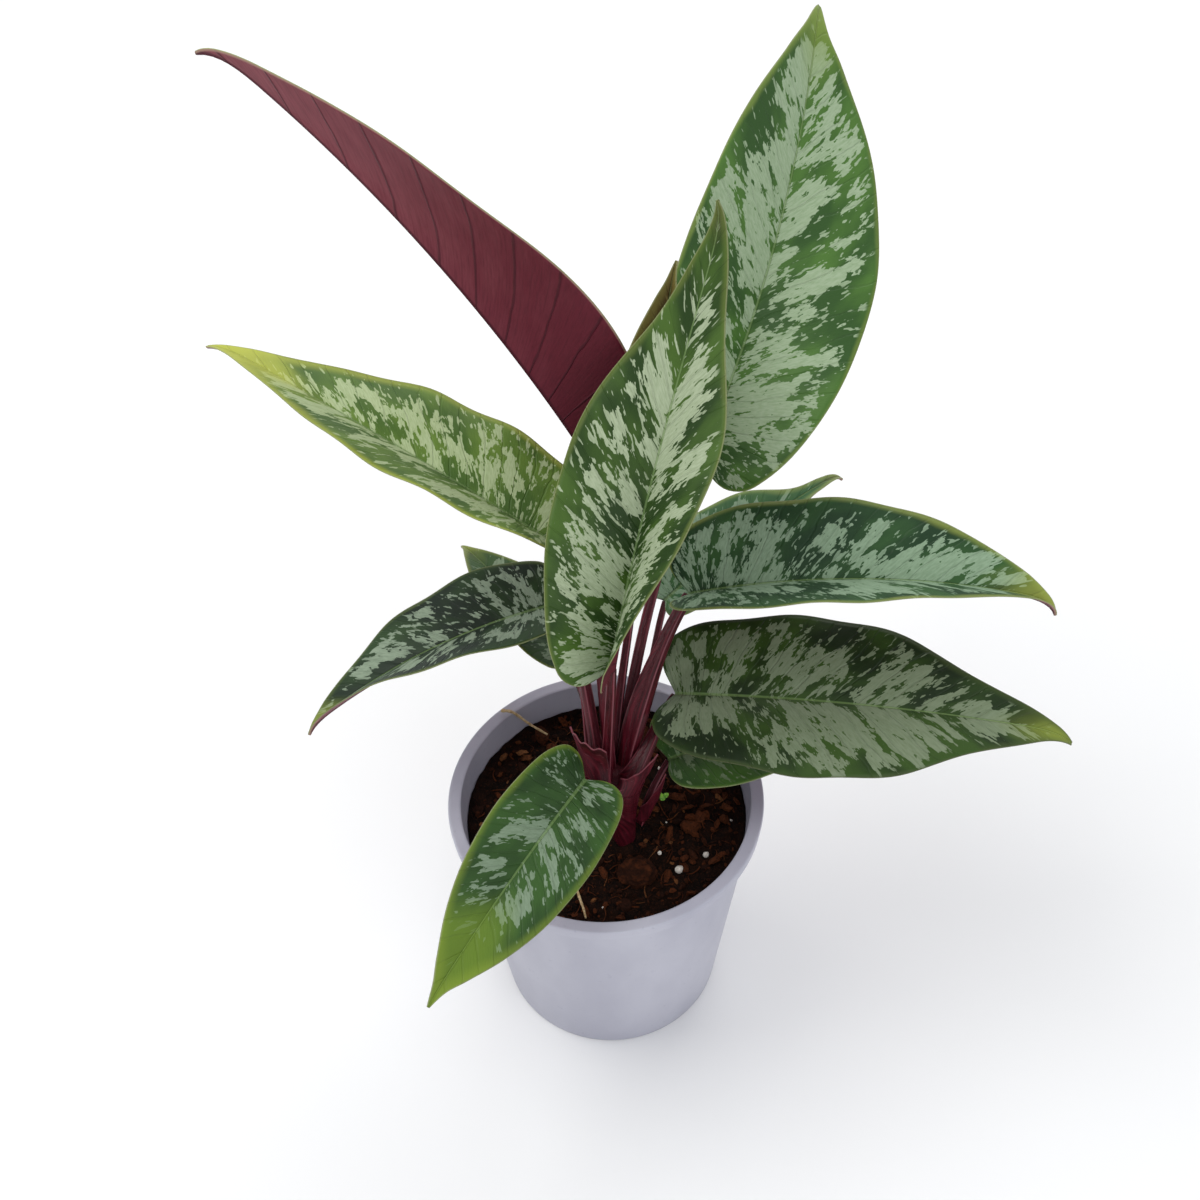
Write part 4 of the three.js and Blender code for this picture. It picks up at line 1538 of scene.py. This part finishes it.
@dataclass
class Studio:
    """A pale floor, soft lights and the camera."""

    floor_side: float = 6.0
    camera_at: Point = (0.0007, -0.3805, 0.637)
    pitch: float = 47.6
    roll: float = -2.2
    lens: float = 51.0
    sensor: float = 36.0
    lamps_face: Point = (0.02, 0.04, 0.2)
    sky: Colour = (0.95, 0.97, 1.0, 1)
    sky_strength: float = 0.68
    low_white: Colour = (0.86, 0.86, 0.86, 1)
    high_white: Colour = (0.89, 0.89, 0.89, 1)

    def floor(self) -> None:
        """Lays the floor just under the pot."""
        mesh = bmesh.new()
        bmesh.ops.create_grid(mesh, x_segments=2, y_segments=2, size=self.floor_side / 2)
        data = mesh_data("studio_floor", mesh)
        sheet = NodeSheet("floor_paint")
        cloud = sheet.speckle(sheet.place(), 3.0)
        sheet.shade(Base_Color=sheet.mix(cloud, self.low_white, self.high_white), Roughness=0.8)
        data.materials.append(sheet.material)
        floor = put("studio_floor", data)

    def lamp(self, name: str, at: Point, size: float, power: float, colour: Point) -> None:
        """Hangs a square soft light that faces the plant.

        Args:
            name: its name.
            at: its place.
            size: its side.
            power: its power in watts.
            colour: its colour.
        """
        data = bpy.data.lights.new(name, "AREA")
        data.shape = "SQUARE"
        data.size = size
        data.energy = power
        data.color = colour
        lamp = put(name, data)
        lamp.location = at
        aim = Vector(self.lamps_face) - Vector(at)
        lamp.rotation_euler = aim.to_track_quat("-Z", "Y").to_euler()

    def lights(self) -> None:
        """Hangs the lights and sets the sky."""
        self.lamp("key_light", (-0.7, 0.2, 1.4), 1.1, 11, (1.0, 0.99, 0.96))
        self.lamp("fill_light", (0.7, -1.1, 0.9), 1.1, 5.5, (0.97, 0.98, 1.0))
        self.lamp("back_light", (0.4, 1.1, 1.2), 1.0, 6, (1.0, 1.0, 1.0))
        world = bpy.data.worlds.new("pale_room")
        world.use_nodes = True
        sky = world.node_tree.nodes["Background"]
        sky.inputs["Color"].default_value = self.sky
        sky.inputs["Strength"].default_value = self.sky_strength
        bpy.context.scene.world = world

    def camera(self) -> None:
        """Stands the camera where the photograph was taken from."""
        data = bpy.data.cameras.new("camera")
        data.lens = self.lens
        data.sensor_width = self.sensor
        data.clip_start = 0.01
        data.dof.use_dof = False
        camera = put("camera", data)
        tilt = Matrix.Rotation(math.radians(90 - self.pitch), 4, "X")
        turn = Matrix.Rotation(math.radians(self.roll), 4, "Z")
        camera.matrix_world = Matrix.Translation(self.camera_at) @ tilt @ turn
        bpy.context.scene.camera = camera

    def build(self) -> None:
        """Makes the whole studio."""
        self.floor()
        self.lights()
        self.camera()
        bpy.context.scene.view_settings.view_transform = "Standard"


def the_leaves() -> list[Leaf]:
    """Lists the twelve leaves.

    Returns:
        The leaves, in the order of the part's pieces.
    """
    return [
        Leaf(
            name="back_right",
            seat=(39, 73.5, 214.5),
            length=174, width=80, heading=55, climb=42, arch=-2, hook=-48, sweep=25,
            roll=-22, twist=-20, fold=(44, 47), cup=(8, 18), relax=(0.8, 1), tail=0,
            wave=0.8, waves=4, phase=0.1,
            foot=(7.4, 5, CROWN_TOP), bends=((9, 14, 155), (24, 54, 196)), radii=(2.3, 1.7),
            marks=LeafMarks(
                seed=1.3, silver=0.75, dark="2f5021", light="4a702e", patch="9bae8e", rim="879c48",
                tip="7f933c",
            ),
        ),
        Leaf(
            name="front_centre",
            seat=(3.5, -5, 190),
            length=164, width=62, heading=72, climb=46, arch=20, hook=45, sweep=-22,
            roll=6, twist=9, fold=(60, 84), cup=(16, 14), relax=(1.0, 1.42), tail=0.66,
            wave=0.7, waves=4, phase=0.3,
            foot=(0.8, -8.2, CROWN_TOP), bends=((1.4, -8.5, 150), (3, -8, 172)), radii=(2, 1.7),
            marks=LeafMarks(
                seed=2.9, silver=0.75, dark="213a10", light="436022", patch="a6b394", rim="6f7e38",
                tip_start=0.92, tip="7a6a40",
            ),
        ),
        Leaf(
            name="upper_left",
            seat=(-5.5, 70, 228),
            length=189, width=75, heading=145, climb=52, arch=-24, hook=-50, sweep=5,
            roll=-62, twist=15, fold=(61, 61), cup=(14, 13), relax=(0.65, 0.65), tail=0.3,
            wave=2.4, waves=1.5, phase=0,
            foot=(1.8, -2.4, CROWN_TOP), bends=((1, 6, 168), (-3, 48, 206)), radii=(2.2, 1.7),
            marks=LeafMarks(seed=4.1, silver=0.6),
        ),
        Leaf(
            name="left",
            seat=(-16, 47, 201),
            length=145, width=64, heading=155, climb=25, arch=-8, hook=-38, sweep=-2,
            roll=-13, twist=-7, fold=(39, 39), cup=(18, 15), relax=(0.7, 0.85), tail=0.37,
            wave=1, waves=4, phase=0,
            foot=(-2.6, -4.6, CROWN_TOP), bends=((-3.5, 2, 155), (-10, 34, 187)), radii=(2.3, 1.6),
            marks=LeafMarks(
                seed=5.7, silver=0.7, dark="456327", light="658235", patch="adbd90", rim="b9bf4c",
                rim_reach=3.6, tip_start=0.78, tip="b9be4c",
            ),
        ),
        Leaf(
            name="lower_left",
            seat=(-17, 49, 165),
            length=106, width=50, heading=194, climb=-2, arch=-26, hook=-37, sweep=12,
            roll=-1, twist=-34, fold=(26, 26), cup=(15, 19), relax=(0, 0), tail=0.3,
            wave=0.9, waves=3, phase=0.2,
            foot=(-4.6, 0, CROWN_TOP), bends=((-6, 8, 146), (-6, 43, 160)), radii=(1.9, 1.4),
            marks=LeafMarks(
                seed=6.2, silver=0.65, dark="142416", light="29421f", patch="8c9d86", rim="5c6e30",
            ),
        ),
        Leaf(
            name="back_left",
            seat=(-12, 38, 146),
            length=74, width=37, heading=126, climb=14, arch=-22, hook=-19, sweep=-2,
            roll=-10, twist=-8, fold=(27, 25), cup=(15, 16), relax=(0.4, 0.4), tail=0.3,
            wave=0.5, waves=3, phase=0.4,
            foot=(-1, 3.2, CROWN_TOP), bends=((-3, 10, 137), (-7, 26, 141)), radii=(1.7, 1.2),
            marks=LeafMarks(
                seed=7.4, silver=0.5, dark="1f3a1c", light="395a25", patch="869a7c", rim="98a34c",
            ),
        ),
        Leaf(
            name="right_upper",
            seat=(33, 38, 180),
            length=139, width=63, heading=-1, climb=13, arch=-28, hook=-60, sweep=-6,
            roll=-4, twist=5, fold=(31, 46), cup=(14, 19), relax=(0.1, 0.1), tail=0.15,
            wave=0.8, waves=4, phase=0.6,
            foot=(8, -1.9, CROWN_TOP), bends=((12, 4, 155), (22, 24, 172)), radii=(3.1, 2.1),
            swell=1.1,
            marks=LeafMarks(
                seed=8.8, silver=0.75, dark="1b381e", light="31552a", patch="8ba387", rim="98a64a",
                rim_reach=2.4, tip="a8ae48",
            ),
        ),
        Leaf(
            name="right_lower",
            seat=(27, 16, 150),
            length=147, width=67, heading=-11, climb=8, arch=-17, hook=-44, sweep=2,
            roll=0, twist=-15, fold=(23, 16), cup=(18, 22), relax=(0.35, 0.35), tail=0.55,
            wave=0.9, waves=4, phase=0.15,
            foot=(7.4, -10.5, CROWN_TOP), bends=((13.6, -11, 140), (19.3, 8, 143.8)), radii=(4.1, 1.45),
            # Darker greens, silver, rim and margin line than the other leaves: partly painted shade, since
            # this low leaf lies in the shade of the leaves above it
            marks=LeafMarks(
                seed=9.5, silver=0.75, dark="15270c", light="334e18", patch="7a886c", rim="46562a",
                line="59613f",
            ),
        ),
        Leaf(
            name="front_lower",
            seat=(-7, -17, 144),
            length=103, width=42, heading=240, climb=10, arch=-22, hook=-16, sweep=-3,
            roll=30, twist=5, fold=(24, 26), cup=(19, 17), relax=(0.3, 0.3), tail=0.05,
            wave=0.5, waves=3, phase=0.35,
            foot=(-3.8, -12.1, 121.5), bends=((-7, -16, 128), (-5, -13.5, 140)), radii=(1.8, 1.4),
            marks=LeafMarks(
                seed=10.6, silver=0.42, dark="213b18", light="355624", patch="7d9078", rim="7f9430",
                rim_reach=3.0, tip_start=0.7, tip="6a8526",
            ),
        ),
        Leaf(
            name="low_right",
            seat=(24, 4, 126),
            length=73, width=44, heading=20, climb=2, arch=-20, hook=-25, sweep=3,
            roll=-7, twist=-5, fold=(27, 25), cup=(16, 17), relax=(0.4, 0.4), tail=0.3,
            wave=0.4, waves=3, phase=0.7,
            foot=(12.9, -10, 106), bends=((14.5, -10, 118), (19, -1, 120)), radii=(1.6, 1.2),
            marks=LeafMarks(
                seed=11.1, silver=0.35, dark="2b4a20", light="426a26", patch="7a8f6c", rim="68843a",
            ),
        ),
        Leaf(
            name="right_back",
            seat=(25, 49, 165),
            length=95, width=38, heading=37, climb=17, arch=-22, hook=-55, sweep=1,
            roll=1, twist=1, fold=(26, 26), cup=(16, 16), relax=(0.35, 0.35), tail=1.1,
            wave=0.5, waves=3, phase=0.5,
            foot=(11.3, 2.6, CROWN_TOP), bends=((15, 9, 140), (20, 36, 158)), radii=(1.7, 1.2),
            marks=LeafMarks(
                seed=12.3, silver=0.95, dark="35603a", light="4d7643", patch="8ba689", tip="54341f",
            ),
        ),
        Leaf(
            name="young",
            seat=(16.2, 51.3, 199.7),
            length=101, width=32, heading=67, climb=78, arch=-20, hook=-18, sweep=2,
            roll=0, twist=-2, fold=(44, 60), cup=(16, 16), relax=(0.4, 0.4), tail=0.1,
            wave=0.3, waves=3, phase=0.2,
            foot=(3.8, 2.4, CROWN_TOP), bends=((5, 7, 155), (14, 45, 174)), radii=(1.7, 1.3),
            marks=LeafMarks(
                seed=13.7, silver=0.1, dark="4a3f18", light="6d6226", patch="807743", rim="857f40",
                tip="4a3018",
            ),
            slot=Slot.YOUNG,
        ),
    ]


def the_sheaths() -> list[Sheath]:
    """Lists the thin wings of the stalk bases.

    Returns:
        The wings.
    """
    return [
        Sheath(
            name="front", foot=(7.6, -10.7, CROWN_TOP), lean=(0.4, 0.16, 1), radii=((5.1, 5.1), (5, 5)),
            start=205, stop=345, height=20, shoulder=0.35, peak=0.8, curl=0.5,
        ),
        Sheath(
            name="left", foot=(4.4, -4.5, CROWN_TOP), lean=(-0.06, 0.13, 1),
            radii=((11.8, 11.4), (14, 10.6)),
            start=182, stop=262, height=27, shoulder=0.9, peak=0.12, curl=0.9,
        ),
        Sheath(
            name="right", foot=(13.4, -10, 110), lean=(0.27, 0.1, 1), radii=((2.7, 2.7), (3.2, 3.2)),
            start=215, stop=360, height=26, shoulder=0.3, peak=0.6, curl=0.4,
        ),
    ]


def the_roots() -> list[RootStrand]:
    """Lists the dry roots: one over the rim and down to the mix, one leaning on the wall.

    Returns:
        The roots.
    """
    return [
        RootStrand(
            "back", 0.7, ((-40, 42.5, 111.1), (-35.5, 41.4, 111), (-29, 39.8, 105), (-22.3, 37.6, 100.8)),
        ),
        RootStrand(
            "front", 0.6, ((-12.5, -33, 100.3), (-10.8, -40, 101.2), (-9.6, -45, 102.4), (-8.9, -49.6, 104)),
        ),
    ]


def main() -> None:
    """Builds the whole plant and its studio."""
    logging.basicConfig(level=logging.INFO, format="%(message)s")
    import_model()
    Studio().build()
    bench = Bench()
    pot = Pot()
    pot.build(bench)
    PottingMix(pot).build(bench)
    stalk = StalkFinish().material("stalk_tissue")
    Crown().build(bench, stalk)
    for leaf in the_leaves():
        leaf.build(bench, stalk)
    for sheath in the_sheaths():
        sheath.build(bench, stalk)
    dry = PlainNatural("c9b287", "9a7f56", 700.0, 0.8, 0.2).material("dry_root")
    for strand in the_roots():
        strand.build(bench, dry)


if __name__ == "__main__":
    main()
